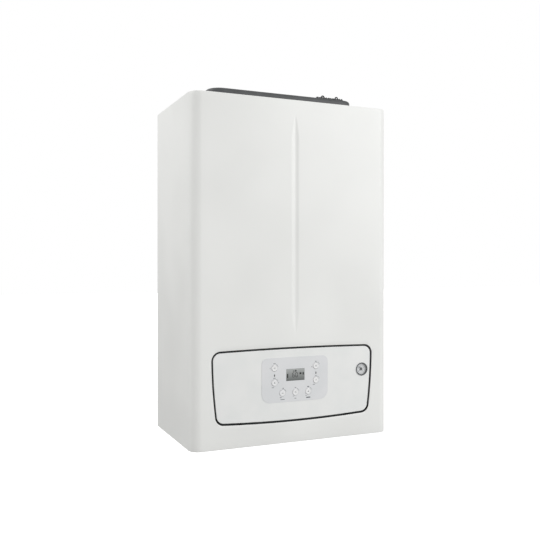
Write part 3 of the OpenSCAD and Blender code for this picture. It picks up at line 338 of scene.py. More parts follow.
def repeated(name, shape, material, count, step, turn_deg=0.0, axis=(0, 0, 1), pivot=(0, 0, 0)):
    """Copies of a small mesh, stepped along a line and turned round a pivot by geometry nodes.

    step and pivot are in millimetres; each copy is turned turn_deg further than the last.
    """
    tree = bpy.data.node_groups.new(name + "_tree", "GeometryNodeTree")
    face = tree.interface
    for label, kind in (("Geometry", "Geometry"), ("Count", "Int"), ("Step", "Vector"),
                        ("Turn", "Float"), ("Pivot", "Vector")):
        face.new_socket(label, in_out="INPUT", socket_type="NodeSocket" + kind)
    face.new_socket("Geometry", in_out="OUTPUT", socket_type="NodeSocketGeometry")
    given = add(tree, "NodeGroupInput")
    points = add(tree, "GeometryNodePoints", {"Count": given.outputs["Count"]})
    number = add(tree, "GeometryNodeInputIndex")
    along = add(tree, "ShaderNodeVectorMath",
                {0: given.outputs["Step"], "Scale": number.outputs[0]}, operation="SCALE")
    placed = add(tree, "GeometryNodeSetPosition",
                 {"Geometry": points.outputs[0], "Offset": along.outputs[0]})
    angle = add(tree, "ShaderNodeMath", {0: given.outputs["Turn"], 1: number.outputs[0]},
                operation="MULTIPLY")
    spin = add(tree, "ShaderNodeVectorMath", {0: axis, "Scale": angle.outputs[0]},
               operation="SCALE")
    copies = add(tree, "GeometryNodeInstanceOnPoints",
                 {"Points": placed.outputs[0], "Instance": given.outputs["Geometry"]})
    turned = add(tree, "GeometryNodeRotateInstances",
                 {"Instances": copies.outputs[0], "Rotation": spin.outputs[0],
                  "Pivot Point": given.outputs["Pivot"], "Local Space": False})
    real = add(tree, "GeometryNodeRealizeInstances", {"Geometry": turned.outputs[0]})
    coated = add(tree, "GeometryNodeSetMaterial",
                 {"Geometry": real.outputs[0], "Material": material})
    add(tree, "NodeGroupOutput", {"Geometry": coated.outputs[0]})
    piece = link_object(name, shape.data.copy(), material)
    bpy.data.objects.remove(shape)
    modifier = piece.modifiers.new("repeat", "NODES")
    modifier.node_group = tree
    values = {"Count": count, "Step": [v * MM for v in step],
              "Turn": math.radians(turn_deg), "Pivot": [v * MM for v in pivot]}
    for item in face.items_tree:
        if item.in_out == "INPUT" and item.name in values:
            modifier[item.identifier] = values[item.name]
    return applied(piece)


# ---------------------------------------------------------------- materials

def shader(name, hex_colour, roughness, metallic=0.0, **constants):
    """A material with a principled shader and Object coordinates ready to use."""
    material = bpy.data.materials.new(name)
    material.use_nodes = True
    tree = material.node_tree
    surface = tree.nodes["Principled BSDF"]
    surface.inputs["Base Color"].default_value = linear(hex_colour)
    surface.inputs["Roughness"].default_value = roughness
    surface.inputs["Metallic"].default_value = metallic
    for key, value in constants.items():
        surface.inputs[key.replace("_", " ")].default_value = value
    place = add(tree, "ShaderNodeTexCoord").outputs["Object"]
    return material, tree, surface, place


def tone(tree, surface, factor, dark_hex, light_hex, low=0.35, high=0.65):
    """Lets the colour drift between two close tones."""
    ramp = add(tree, "ShaderNodeValToRGB", {"Fac": factor})
    ramp.color_ramp.elements[0].position = low
    ramp.color_ramp.elements[0].color = linear(dark_hex)
    ramp.color_ramp.elements[1].position = high
    ramp.color_ramp.elements[1].color = linear(light_hex)
    tree.links.new(ramp.outputs["Color"], surface.inputs["Base Color"])


def relief(tree, surface, height, strength, depth_mm):
    """Raises and sinks the surface by a pattern."""
    bump = add(tree, "ShaderNodeBump",
               {"Height": height, "Strength": strength, "Distance": depth_mm * MM})
    tree.links.new(bump.outputs["Normal"], surface.inputs["Normal"])


def gloss(tree, surface, factor, low, high):
    """Lets the roughness follow a pattern."""
    mapped = add(tree, "ShaderNodeMapRange", {"Value": factor, "To Min": low, "To Max": high})
    tree.links.new(mapped.outputs["Result"], surface.inputs["Roughness"])


def noise(tree, place, size_mm, detail):
    """Noise whose cells are about this many millimetres wide."""
    return add(tree, "ShaderNodeTexNoise",
               {"Vector": place, "Scale": per_mm(size_mm), "Detail": detail}).outputs["Fac"]


def powder_coat(name, dark_hex, light_hex):
    """Polyester powder coat on sheet steel: satin, with an orange peel of 1.6 mm."""
    material, tree, surface, place = shader(name, light_hex, 0.4, IOR=1.5)
    wide = noise(tree, place, 160, 1.0)
    tone(tree, surface, wide, dark_hex, light_hex)
    gloss(tree, surface, wide, 0.36, 0.44)
    relief(tree, surface, noise(tree, place, 1.6, 2.0), 0.12, 0.08)
    return material


def moulded(name, dark_hex, light_hex, roughness, grain_mm, depth_mm, coat=0.0):
    """Injection-moulded plastic: spark-eroded grain, and a tone that drifts a little."""
    material, tree, surface, place = shader(name, light_hex, roughness, IOR=1.49,
                                            Coat_Weight=coat)
    grain = noise(tree, place, grain_mm, 3.0)
    tone(tree, surface, noise(tree, place, 45, 2.0), dark_hex, light_hex)
    gloss(tree, surface, grain, roughness - 0.05, roughness + 0.08)
    relief(tree, surface, grain, 0.3, depth_mm)
    return material


def drawn_metal(name, dark_hex, light_hex, roughness, stretch):
    """Drawn or brushed metal: fine lines along one axis, duller in the hollows."""
    material, tree, surface, place = shader(name, light_hex, roughness, 1.0)
    lined = add(tree, "ShaderNodeMapping", {"Vector": place, "Scale": stretch})
    lines = noise(tree, lined.outputs[0], 0.4, 2.0)
    tone(tree, surface, noise(tree, place, 18, 4.0), dark_hex, light_hex)
    gloss(tree, surface, lines, roughness - 0.08, roughness + 0.12)
    relief(tree, surface, lines, 0.15, 0.03)
    return material


def cast_metal(name, dark_hex, light_hex, roughness, pit_mm, metallic=1.0):
    """Sand- or die-cast metal: pitted skin that scatters the light."""
    material, tree, surface, place = shader(name, light_hex, roughness, metallic)
    pits = noise(tree, place, pit_mm, 5.0)
    tone(tree, surface, pits, dark_hex, light_hex)
    gloss(tree, surface, pits, roughness - 0.1, roughness + 0.12)
    relief(tree, surface, pits, 0.5, 0.15)
    return material


def galvanised_sheet():
    """Hot-dip galvanised steel: zinc spangles about 9 mm wide, each with its own sheen."""
    material, tree, surface, place = shader("galvanised_steel_sheet", "#ccd0d2", 0.4, 0.85)
    flakes = add(tree, "ShaderNodeTexVoronoi", {"Vector": place, "Scale": per_mm(9)})
    grey = add(tree, "ShaderNodeSeparateColor", {"Color": flakes.outputs["Color"]})
    tone(tree, surface, grey.outputs[0], "#bfc3c6", "#d8dbdc", 0.0, 1.0)
    gloss(tree, surface, grey.outputs[1], 0.3, 0.52)
    return material


def fibre_board():
    """Vacuum-formed ceramic fibre: cream, matt and felted."""
    material, tree, surface, place = shader("ceramic_fibre_board", "#e6dfcd", 0.95, IOR=1.5)
    felt = noise(tree, place, 1.2, 6.0)
    tone(tree, surface, felt, "#cfc6ae", "#efe9da")
    relief(tree, surface, felt, 0.8, 0.4)
    return material


def display_glass():
    """Liquid crystal under glass: mid grey, darker towards its foot where less light falls in."""
    material, tree, surface, place = shader("lcd_under_glass", "#8b908d", 0.16, IOR=1.52,
                                            Coat_Weight=0.6, Coat_Roughness=0.05)
    low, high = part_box("lcd_window")
    parts = add(tree, "ShaderNodeSeparateXYZ", {"Vector": place})
    rise = add(tree, "ShaderNodeMapRange", {"Value": parts.outputs["Z"],
                                            "From Min": low[2], "From Max": high[2]})
    tone(tree, surface, rise.outputs["Result"], "#6e7271", "#b4b7b6", 0.0, 1.0)
    return material


def clear_plastic():
    """Clear polystyrene gauge lens: nearly invisible, with a hard highlight."""
    return shader("clear_polystyrene_lens", "#f4f7f8", 0.04, IOR=1.49, Alpha=0.07)[0]


# Each finish: its real name, its darker and lighter tones, then roughness and, for mouldings and
# castings, the width of the grain and its depth in mm
ENAMEL = powder_coat("white_powder_coat", "#eeefed", "#f3f4f2")
# Painted shade: the base plate is coated dark so the gap below the control panel reads as shade
DARK_SHEET_AS_GAP_SHADE = powder_coat("dark_powder_coat_as_gap_shade", "#2b2d2f", "#313336")
FASCIA = moulded("white_abs_fine_grain", "#eef0ef", "#f2f3f2", 0.42, 0.7, 0.05)
FILM = moulded("printed_polycarbonate_film", "#e2e4e6", "#e7e8ea", 0.34, 0.5, 0.03)
KEYCAP = moulded("white_abs_polished", "#f3f4f5", "#f8f8f8", 0.22, 0.8, 0.01, coat=0.3)
INK = moulded("grey_screen_ink", "#6a6e73", "#777b80", 0.5, 0.5, 0.01)
DARK_INK = moulded("dark_screen_ink", "#303336", "#3a3d40", 0.5, 0.5, 0.01)
SEGMENTS = moulded("lcd_segments", "#151716", "#1d201f", 0.5, 0.5, 0.0)
RUBBER = moulded("extruded_epdm_rubber", "#1f2122", "#292b2d", 0.72, 0.9, 0.12)
HOOD = moulded("dark_grey_polypropylene", "#454748", "#525456", 0.5, 1.1, 0.12)
BLACK = moulded("black_glass_filled_nylon", "#1d1f21", "#2a2c2f", 0.55, 0.9, 0.1)
NATURAL = moulded("natural_polypropylene", "#d9dad6", "#e6e6e2", 0.4, 1.5, 0.05)
RED = moulded("red_abs", "#a81d16", "#bd2a20", 0.3, 0.9, 0.03, coat=0.3)
BLUE = moulded("blue_abs", "#1d4f9c", "#2a60b0", 0.3, 0.9, 0.03, coat=0.3)
BOARD = moulded("green_solder_mask", "#1f5a37", "#2a6b44", 0.3, 2.5, 0.04, coat=0.4)
RIM = moulded("mid_grey_abs_rim", "#7d8083", "#888b8e", 0.35, 0.8, 0.03)
DIAL = moulded("painted_gauge_dial", "#dfe1e3", "#e6e8e9", 0.5, 0.6, 0.01)
PORCELAIN = moulded("glazed_steatite", "#e6e0d2", "#efeade", 0.2, 2.0, 0.02, coat=0.8)
VESSEL = powder_coat("red_enamel_on_steel", "#96271d", "#a6301f")
ZINC = galvanised_sheet()
FIBRE = fibre_board()
GLASS = display_glass()
LENS = clear_plastic()
CAST_ALU = cast_metal("die_cast_aluminium", "#9fa2a4", "#c3c6c8", 0.42, 2.2)
CAST_IRON = cast_metal("black_coated_cast_iron", "#222426", "#2f3133", 0.55, 2.6, 0.2)
BRASS = cast_metal("hot_forged_brass", "#a8823f", "#cfa659", 0.34, 3.0)
STEEL = drawn_metal("brushed_stainless_steel", "#94979a", "#bbbec1", 0.3, (1, 1, 0.04))
COPPER = drawn_metal("drawn_copper_tube", "#9c5a38", "#c47c50", 0.28, (1, 1, 0.05))


# ---------------------------------------------------------------- camera, light, floor

# The camera stands to the left of the boiler at half its height and looks level at it
CAMERA_AT = (-0.6235, -1.6096, 0.3630)
CAMERA_YAW = 0.428
LENS_MM = 48.29
SENSOR_MM = 36
LENS_SHIFT = (-0.039, -0.010)

# The floor lies this far below the boiler's foot, which hangs on its wall; both in metres
FLOOR_DROP = 0.9
FLOOR_REACH = 30
WHITE = (1, 1, 1, 1)
FILL_COLOUR = (1.0, 0.995, 0.985, 1)
FILL_STRENGTH = 0.72

# Name, place, point it looks at, width (metres) and watts of each light
LIGHTS = [
    ("key", (1.9, -2.6, 1.3), (0, -0.2, 0.4), 1.4, 40),
    ("side", (-1.5, 0.1, 1.7), (-0.2, -0.1, 0.5), 0.9, 13),
]


def set_up_camera():
    lens = bpy.data.cameras.new("camera")
    lens.lens = LENS_MM
    lens.sensor_width = SENSOR_MM
    lens.shift_x, lens.shift_y = LENS_SHIFT
    camera = bpy.data.objects.new("camera", lens)
    camera.location = CAMERA_AT
    camera.rotation_euler = (math.pi / 2, 0, -CAMERA_YAW)
    bpy.context.scene.collection.objects.link(camera)
    bpy.context.scene.camera = camera


def add_light(name, place, target, size, watts):
    lamp = bpy.data.lights.new(name, "AREA")
    lamp.shape = "RECTANGLE"
    lamp.size = lamp.size_y = size
    lamp.energy = watts
    light = bpy.data.objects.new(name, lamp)
    light.location = place
    light.rotation_euler = (Vector(target) - Vector(place)).to_track_quat("-Z", "Y").to_euler()
    bpy.context.scene.collection.objects.link(light)


def set_up_studio():
    """White surroundings for the eye, softer ones for the light, and a pale floor."""
    scene = bpy.context.scene
    scene.view_settings.view_transform = "Standard"
    world = bpy.data.worlds.new("studio")
    world.use_nodes = True
    tree = world.node_tree
    tree.nodes.clear()
    ray = add(tree, "ShaderNodeLightPath")
    fill = add(tree, "ShaderNodeBackground", {"Color": FILL_COLOUR, "Strength": FILL_STRENGTH})
    seen = add(tree, "ShaderNodeBackground", {"Color": WHITE, "Strength": 1.0})
    mix = add(tree, "ShaderNodeMixShader", {0: ray.outputs["Is Camera Ray"],
                                            1: fill.outputs[0], 2: seen.outputs[0]})
    add(tree, "ShaderNodeOutputWorld", {"Surface": mix.outputs[0]})
    scene.world = world
    for light in LIGHTS:
        add_light(*light)
    pale, tree, surface, _ = shader("pale_floor", "#b4b4b4", 0.9, Emission_Color=WHITE)
    ray = add(tree, "ShaderNodeLightPath")
    tree.links.new(ray.outputs["Is Camera Ray"], surface.inputs["Emission Strength"])
    mesh = bpy.data.meshes.new("floor")
    corners = [(x * FLOOR_REACH, y * FLOOR_REACH, -FLOOR_DROP)
               for x, y in ((-1, -1), (1, -1), (1, 1), (-1, 1))]
    mesh.from_pydata(corners, [], [(0, 1, 2, 3)])
    link_object("floor", mesh, pale)


# ---------------------------------------------------------------- casing

COVER_LOW, COVER_HIGH = box_mm("front_cover")

# The cover's sheet (mm): upright corners, thickness, folds and flanges at its top and foot
CORNER_R = 21.0
SHEET = 1.2
FOLD_R = 1.6
FLANGE = 19.4

# How far the cutter for the panel's opening reaches past the cover's front, both ways (mm)
CUT_REACH = 9

# The pressed groove (mm): half its width, depth, heights of its ends, length over which each end
# runs out, and how bluntly it does so
GROOVE_HALF = 9.0
GROOVE_DEPTH = 1.3
GROOVE_ENDS = (222.0, COVER_HIGH[2] - 34.0)
GROOVE_FADE = 42.0
GROOVE_TAPER = 0.6


def groove_sink(x, z):
    """How far the pressed groove sinks the sheet here, in mm."""
    low, high = GROOVE_ENDS
    fade = min(max(min(z - low, high - z) / GROOVE_FADE, 0.0), 1.0) ** GROOVE_TAPER
    half = GROOVE_HALF * fade
    if abs(x) >= half:
        return 0.0
    return GROOVE_DEPTH * fade * (0.5 + 0.5 * math.cos(math.pi * x / half))


def cover_plan(inset):
    """Plan of the cover from its left edge round to its right edge, drawn in by inset."""
    half, front, joint = COVER_HIGH[0], -COVER_LOW[1], -COVER_HIGH[1]
    radius = max(CORNER_R - inset, 0.4)
    centre = half - CORNER_R
    arc = [(centre + radius * math.cos(a), joint + radius * math.sin(a))
           for a in spread(0, math.pi / 2, 18)]
    groove_edge = GROOVE_HALF + 1
    flat = spread(centre, groove_edge, 20)[1:] + spread(groove_edge, 0, 20)[1:]
    right = arc + [(x, front - inset) for x in flat]
    return [(-x, y) for x, y in right[:-1]] + right[::-1]


def cover_rows():
    """Height and inset of each row: flange, fold, wall, fold, flange."""
    top = COVER_HIGH[2]
    flange = [(0.0, FLANGE), (0.0, FLANGE / 2)]
    flange += [(FOLD_R * (1 - math.sin(a)), FOLD_R * (1 - math.cos(a)))
               for a in spread(math.pi / 2, 0, 5)]
    low_end, high_end = GROOVE_ENDS
    levels = [(FOLD_R, 12), (low_end, 14), (low_end + GROOVE_FADE, 16),
              (high_end - GROOVE_FADE, 14), (high_end, 4), (top - FOLD_R, 0)]
    rows = list(flange)
    for (start, steps), (end, _) in zip(levels, levels[1:]):
        rows += [(z, 0.0) for z in spread(start, end, steps)[1:]]
    return rows + [(top - z, inset) for z, inset in reversed(flange)][1:]


def make_front_cover():
    """The folded cover sheet with its groove pressed in and the panel's opening cut out."""
    bm = bmesh.new()
    grid = []
    for z, inset in cover_rows():
        line = []
        for x, y in cover_plan(inset):
            sink = groove_sink(x, z) if inset == 0 else 0.0
            line.append(bm.verts.new((x * MM, -(y - sink) * MM, z * MM)))
        grid.append(line)
    for below, above in zip(grid, grid[1:]):
        for i in range(len(below) - 1):
            bm.faces.new((below[i], below[i + 1], above[i + 1], above[i]))
    bmesh.ops.recalc_face_normals(bm, faces=bm.faces)
    if sum(face.normal.y for face in bm.faces) > 0:
        bmesh.ops.reverse_faces(bm, faces=bm.faces)
    cover = link_object("front_cover_sheet", mesh_of("front_cover_sheet", bm), ENAMEL)
    wall = cover.modifiers.new("sheet", "SOLIDIFY")
    wall.thickness = SHEET * MM
    wall.offset = -1
    front = -COVER_LOW[1]
    cutter = plate("cutter", [opening(0)], front - CUT_REACH, front + CUT_REACH, 0, ENAMEL)
    hole = cover.modifiers.new("opening", "BOOLEAN")
    hole.operation = "DIFFERENCE"
    hole.solver = "EXACT"
    hole.object = cutter
    rim = cover.modifiers.new("rim", "BEVEL")
    rim.width = 0.3 * MM
    rim.segments = 2
    rim.limit_method = "ANGLE"
    rim.angle_limit = math.radians(60)
    applied(cover)
    bpy.data.objects.remove(cutter)
    smooth(cover.data, 38)
    settle(cover, "front_cover", "front_cover", slot="white_enamel")


# Outline of the panel's opening (mm): centres of its upper and lower corners from the middle and
# above the casing's foot, their radius, how far each edge bows out, and the gap to the fascia
OPEN_TOP = (161.5, 174.0)
OPEN_LOW = (154.0, 66.0)
OPEN_R = 19.0
OPEN_BULGE = {"top": 2.0, "low": 4.3, "side": 1.5}
FASCIA_GAP = 4.0


def opening(inset):
    """The opening's outline, drawn in by inset, as a closed loop."""
    radius = OPEN_R - inset
    (tx, tz), (lx, lz) = OPEN_TOP, OPEN_LOW
    right = [(t * tx, tz + radius + OPEN_BULGE["top"] * (1 - t * t)) for t in spread(0, 1, 12)]
    right += [(tx + radius * math.cos(a), tz + radius * math.sin(a))
              for a in spread(math.pi / 2, 0, 16)[1:]]
    right += [(tx + (lx - tx) * t + radius + OPEN_BULGE["side"] * (1 - (2 * t - 1) ** 2),
               tz + (lz - tz) * t) for t in spread(0, 1, 12)[1:-1]]
    right += [(lx + radius * math.cos(a), lz + radius * math.sin(a))
              for a in spread(0, -math.pi / 2, 16)]
    right += [(t * lx, lz - radius - OPEN_BULGE["low"] * (1 - t * t))
              for t in spread(1, 0, 12)[1:]]
    return right + [(-x, z) for x, z in right[-2:0:-1]]


def make_side_panels():
    for side in ("left", "right"):
        node = "side_panel_" + side
        panel = softened(node, ENAMEL, 0.5, node + "_sheet")
        settle(panel, "case", node, slot="white_enamel")


# ---------------------------------------------------------------- control panel

def circle(x, z, radius, count=40):
    return [(x + radius * math.cos(a), z + radius * math.sin(a))
            for a in spread(0, 2 * math.pi, count)[:-1]]


def rectangle(x, z, width, height):
    """An outline whose lower left corner is at x, z."""
    return [(x, z), (x + width, z), (x + width, z + height), (x, z + height)]


def rounded_loop(low, high, radii, steps=10):
    """A rectangle with its own radius at each corner: top right, low right, low left, top left."""
    corners = [((high[0], high[1]), -1, -1, 90, 0), ((high[0], low[1]), -1, 1, 0, -90),
               ((low[0], low[1]), 1, 1, -90, -180), ((low[0], high[1]), 1, -1, 180, 90)]
    loop = []
    for ((x, z), sx, sz, start, end), radius in zip(corners, radii):
        loop += [(x + sx * radius + radius * math.cos(a), z + sz * radius + radius * math.sin(a))
                 for a in spread(math.radians(start), math.radians(end), steps)]
    return loop


BUTTONS = ["button_%d" % i for i in range(1, 8)]

# Button caps (mm): gap round them, rim radius, depth of the finger dish, height of the cap, stem
CAP_GAP = 0.4
CAP_RIM = 1.1
DISH_DEPTH = 0.35
CAP_DEPTH = 3.1
STEM_R = 2.0

# Wall of the fascia, thickness of printed ink, and the film's corners from top right round (mm)
FASCIA_WALL = 2.5
INK_DEPTH = 0.04
MEMBRANE_R = [13, 19, 19, 13]


def button_holes(extra=0.0):
    """A round hole for each button's cap."""
    return [circle(x, z, radius + CAP_GAP + extra)
            for x, z, radius, _, _ in map(round_mm, BUTTONS)]


def window_hole(gap, radius):
    """The display's window, this much larger all round."""
    low, high = box_mm("lcd_window")
    return rounded_loop((low[0] - gap, low[2] - gap), (high[0] + gap, high[2] + gap),
                        [radius] * 4, 3)


def make_fascia():
    front = -box_mm("fascia")[0][1]
    x, z, gauge_r, _, _ = round_mm("gauge_case")
    holes = button_holes(1.0) + [circle(x, z, gauge_r - 0.8), window_hole(0.2, 0.4)]
    panel = plate("fascia_moulding", [opening(FASCIA_GAP)] + holes,
                  front - FASCIA_WALL, front, 0.9, FASCIA, 4)
    settle(panel, "control_panel", "fascia", slot="fascia_white")


def make_membrane():
    low, high = box_mm("membrane")
    outline = rounded_loop((low[0], low[2]), (high[0], high[2]), MEMBRANE_R, 14)
    film = plate("membrane_film", [outline] + button_holes() + [window_hole(0.15, 0.6)],
                 -high[1], -low[1], 0.15, FILM, 2)
    settle(film, "control_panel", "membrane", slot="membrane_grey")


def make_buttons():
    """Caps with a rounded rim and a shallow finger dish, each on its stem."""
    for node in BUTTONS:
        x, z, radius, back, front = round_mm(node)
        flat_r = radius - CAP_RIM
        edge = [(flat_r + CAP_RIM * math.cos(a), front - CAP_RIM + CAP_RIM * math.sin(a))
                for a in spread(0, math.pi / 2, 6)]
        dish = [(r, front - DISH_DEPTH * (1 - (r / flat_r) ** 2))
                for r in spread(flat_r, 0, 8)[1:]]
        under = front - CAP_DEPTH
        profile = [(STEM_R, back), (STEM_R, under), (radius, under)] + edge + dish
        cap = lathe(node + "_cap", profile, (x, 0, z), "Y", KEYCAP, 48)
        mark = button_mark(node, x, z, front)
        settle(join(node + "_cap", [cap, mark]), node, node, slot="button_white")


def button_mark(node, x, z, front):
    """A small printed sign in the middle of a cap: a ring, an arrow or a bar."""
    loops = [
        [circle(x, z, 1.7, 24), circle(x, z, 1.1, 24)],
        [[(x - 1.8, z - 0.9), (x + 1.8, z - 0.9), (x, z + 1.5)]],
        [rectangle(x - 1.8, z - 0.4, 3.6, 0.8)],
    ][BUTTONS.index(node) % 3]
    return plate(node + "_mark", loops, front - 0.5, front - 0.24, 0.0, INK)


def make_print():
    """Screen-printed signs round the buttons: arcs, bars, drops and flames with no letters."""
    front = -box_mm("membrane")[0][1]
    marks = []

    def printed(name, loop, ink):
        marks.append(plate(name, [loop], front, front + INK_DEPTH, 0, ink))

    places = [round_mm(node)[:2] for node in BUTTONS]
    radius = round_mm(BUTTONS[0])[2]
    for (x, z), bars in zip(places, PRINT_BARS):
        arc = [(x + r * math.cos(a), z + r * math.sin(a))
               for r, run in ((radius + 2.3, spread(0.35, 1.1, 8)),
                              (radius + 1.7, spread(1.1, 0.35, 8))) for a in run]
        printed("arc", arc, INK)
        for dx, dz, w, h in bars:
            printed("bar", rounded_loop((x + dx - w / 2, z + dz - h / 2),
                                        (x + dx + w / 2, z + dz + h / 2),
                                        [min(w, h) * 0.3] * 4, 3), INK)
    for side in (-1, 1):
        column = side * max(abs(x) for x, z in places if x * side > 0)
        middle = sum(sorted(z for x, z in places if x * side > 0)[-2:]) / 2
        drop = circle(column, middle - 0.5, 1.5, 16)[:9] + [(column, middle - 3.0)]
        printed("drop", drop, DARK_INK)
        flame = [(column - 1.2, middle + 0.6), (column + 1.2, middle + 0.6),
                 (column, middle + 3.2)]
        printed("flame", flame, DARK_INK)
    settle(join("membrane_print", marks), "control_panel", slot="membrane_grey")


# Bars beside each button: offset across, offset up, width, height (mm)
PRINT_BARS = [
    [(0, 9.2, 5.5, 1.1), (-9.5, 0, 0.9, 3.0)],
    [(0, 9.2, 5.5, 1.1), (-3.5, -9.6, 5.0, 1.1), (9.3, 0, 0.9, 3.0)],
    [(1.5, 9.6, 2.4, 2.0), (-4.0, -9.0, 4.0, 1.2), (0, -13.0, 9.0, 1.3)],
    [(0, 9.6, 3.2, 1.2), (-4.5, -7.6, 2.4, 1.2), (0, -12.4, 4.2, 1.2)],
    [(0, 9.6, 4.2, 1.8), (-5.0, -8.6, 2.0, 1.6), (0, -12.6, 9.5, 2.4)],
    [(0, 9.2, 4.0, 1.0), (-5.0, -8.8, 5.0, 1.0)],
    [(0, 9.2, 4.0, 1.4), (-9.3, -1.5, 1.0, 2.4)],
]


def digit_segments(x, z, width, height, lit):
    """Bars of a seven-segment digit whose lower left corner is at x, z."""
    bar = width * 0.2
    half = height / 2
    shapes = {
        "a": (x + bar, z + height - bar, width - 2 * bar, bar),
        "g": (x + bar, z + half - bar / 2, width - 2 * bar, bar),
        "d": (x + bar, z, width - 2 * bar, bar),
        "f": (x, z + half + bar / 3, bar, half - bar),
        "b": (x + width - bar, z + half + bar / 3, bar, half - bar),
        "e": (x, z + bar * 0.7, bar, half - bar),
        "c": (x + width - bar, z + bar * 0.7, bar, half - bar),
    }
    return [shapes[key] for key in lit]


# Digits and signs on the display, from its lower left corner (mm)
LCD_DIGITS = [(13.5, "acdefg"), (20.5, "abcdef")]
LCD_DIGIT_Z = 6.5
LCD_DIGIT_SIZE = (5.2, 10)
LCD_SIGNS = [(1.6, 6, 2.6, 8.5), (29.8, 12, 4.2, 4.0), (36.6, 11, 3.0, 5.0),
             (15.0, 18.6, 3.4, 1.6), (19.8, 18.0, 3.0, 3.4)]


def make_display():
    low, high = box_mm("lcd_window")
    front = -low[1]
    glass = plate("lcd_glass", [window_hole(0, 0.5)], -high[1], front, 0.12, GLASS, 2)
    settle(glass, "control_panel", "lcd_window", slot="lcd_grey")
    left, foot = low[0], low[2]
    bars = []
    for x, lit in LCD_DIGITS:
        bars += digit_segments(left + x, foot + LCD_DIGIT_Z, *LCD_DIGIT_SIZE, lit)
    bars += [(left + x, foot + z, w, h) for x, z, w, h in LCD_SIGNS]
    marks = [plate("segment", [rounded_loop((x, z), (x + w, z + h), [0.25] * 4, 2)],
                   front, front + 0.03, 0, SEGMENTS) for x, z, w, h in bars]
    settle(join("lcd_figures", marks), "control_panel", slot="lcd_grey")


# The gauge (mm and degrees): depth of the dial, wall of its well, where the scale starts from the
# dial's foot, the angle between figures, and how far the pointer leans at rest
DIAL_SINK = 4.6
WELL_WALL = 2.2
SCALE_START_DEG = 45
FIGURE_PITCH_DEG = 67.5
POINTER_REST_DEG = -45

# Name, half width, length, number and pitch of the two kinds of tick
SCALE_TICKS = [("long_ticks", 0.22, 2.4, 5, FIGURE_PITCH_DEG),
               ("small_ticks", 0.12, 1.3, 21, FIGURE_PITCH_DEG / 5)]

# Lit bars of the figures 0 to 4
DIGITS = ["abcdef", "bc", "abged", "abgcd", "fgbc"]


def make_gauge():
    """A dial sunk in a black well, whose colour is partly its own and partly painted shade inside
    the recess, with a grey rim, a scale, a pointer and a domed lens.
    """
    x, z, rim_r, back, front = round_mm("gauge_case")
    well_r = rim_r - WELL_WALL
    face = front - DIAL_SINK

    def turned(name, profile, material, segments=96, closed=False):
        return lathe(name, profile, (x, 0, z), "Y", material, segments, closed)

    rim = turned("rim", [(rim_r - 0.9, front - 1.4), (rim_r - 0.1, front - 1.3),
                         (rim_r, front - 0.9), (rim_r - 0.2, front - 0.3),
                         (rim_r - 0.6, front), (rim_r - 1.1, front - 0.25),
                         (rim_r - 1.2, front - 1.4)], RIM, closed=True)
    # The well's black is partly its own colour and partly painted shade on its inner wall
    well = turned("well", [(0, back), (rim_r - 1.3, back), (rim_r - 1.3, front - 1.4),
                           (rim_r - 1.3, front - 0.5), (well_r, front - 0.9),
                           (well_r, face - 0.6), (0, face - 0.6)], BLACK)
    dial = turned("dial", [(0, face - 0.5), (well_r - 0.1, face - 0.5), (well_r - 0.1, face),
                           (0, face)], DIAL)
    settle(join("gauge_well", [well, rim, dial]), "control_panel", "gauge_case",
           slot=SLOTS["gauge_case"])

    scale_r = well_r - 1.2
    ticks = []
    for name, half, length, count, pitch_deg in SCALE_TICKS:
        tick = soft_box(name[:-1], (x - half, -face - 0.05, z - scale_r),
                        (x + half, -face, z - scale_r + length), 0.01, DARK_INK, 1)
        turn_about(tick, x, z, SCALE_START_DEG)
        ticks.append(repeated(name, tick, DARK_INK, count, (0, 0, 0), pitch_deg, (0, 1, 0),
                              (x, -face, z)))
    figure_r = scale_r - 4.6
    for number, lit in enumerate(DIGITS):
        a = math.radians(270 - SCALE_START_DEG - FIGURE_PITCH_DEG * number)
        left, foot = x + figure_r * math.cos(a) - 0.8, z + figure_r * math.sin(a) - 1.4
        for segment in digit_segments(left, foot, 1.6, 2.8, lit):
            ticks.append(plate("figure", [rectangle(*segment)], face, face + INK_DEPTH, 0,
                               DARK_INK))
    settle(join("gauge_scale", ticks), "control_panel", slot=SLOTS["gauge_case"])

    blade = [(x - 1.1, z - 3.4), (x + 1.1, z - 3.4), (x + 0.35, z + scale_r - 2.6),
             (x - 0.35, z + scale_r - 2.6)]
    level = face + 0.9
    pointer = plate("pointer", [blade], level, level + 0.35, 0.05, BLACK, 1)
    turn_about(pointer, x, z, POINTER_REST_DEG)
    hub = turned("hub", [(0, face - 5), (0.7, face - 5), (0.7, face), (3.0, face + 0.3),
                         (3.0, face + 1.1), (2.4, face + 1.7), (0, face + 1.9)], BLACK, 32)
    settle(join("gauge_pointer", [pointer, hub]), "gauge_needle", "gauge_needle",
           slot="needle_black")

    lens_r = rim_r - 1.75
    dome = [(r, front - 0.75 + 0.5 * (1 - (r / lens_r) ** 2)) for r in spread(lens_r, 0, 8)]
    lens = turned("gauge_glass", [(0, front - 1.1), (lens_r, front - 1.1)] + dome, LENS, 64)
    settle(lens, "control_panel", "gauge_lens", slot="clear_lens")


# ---------------------------------------------------------------- hood

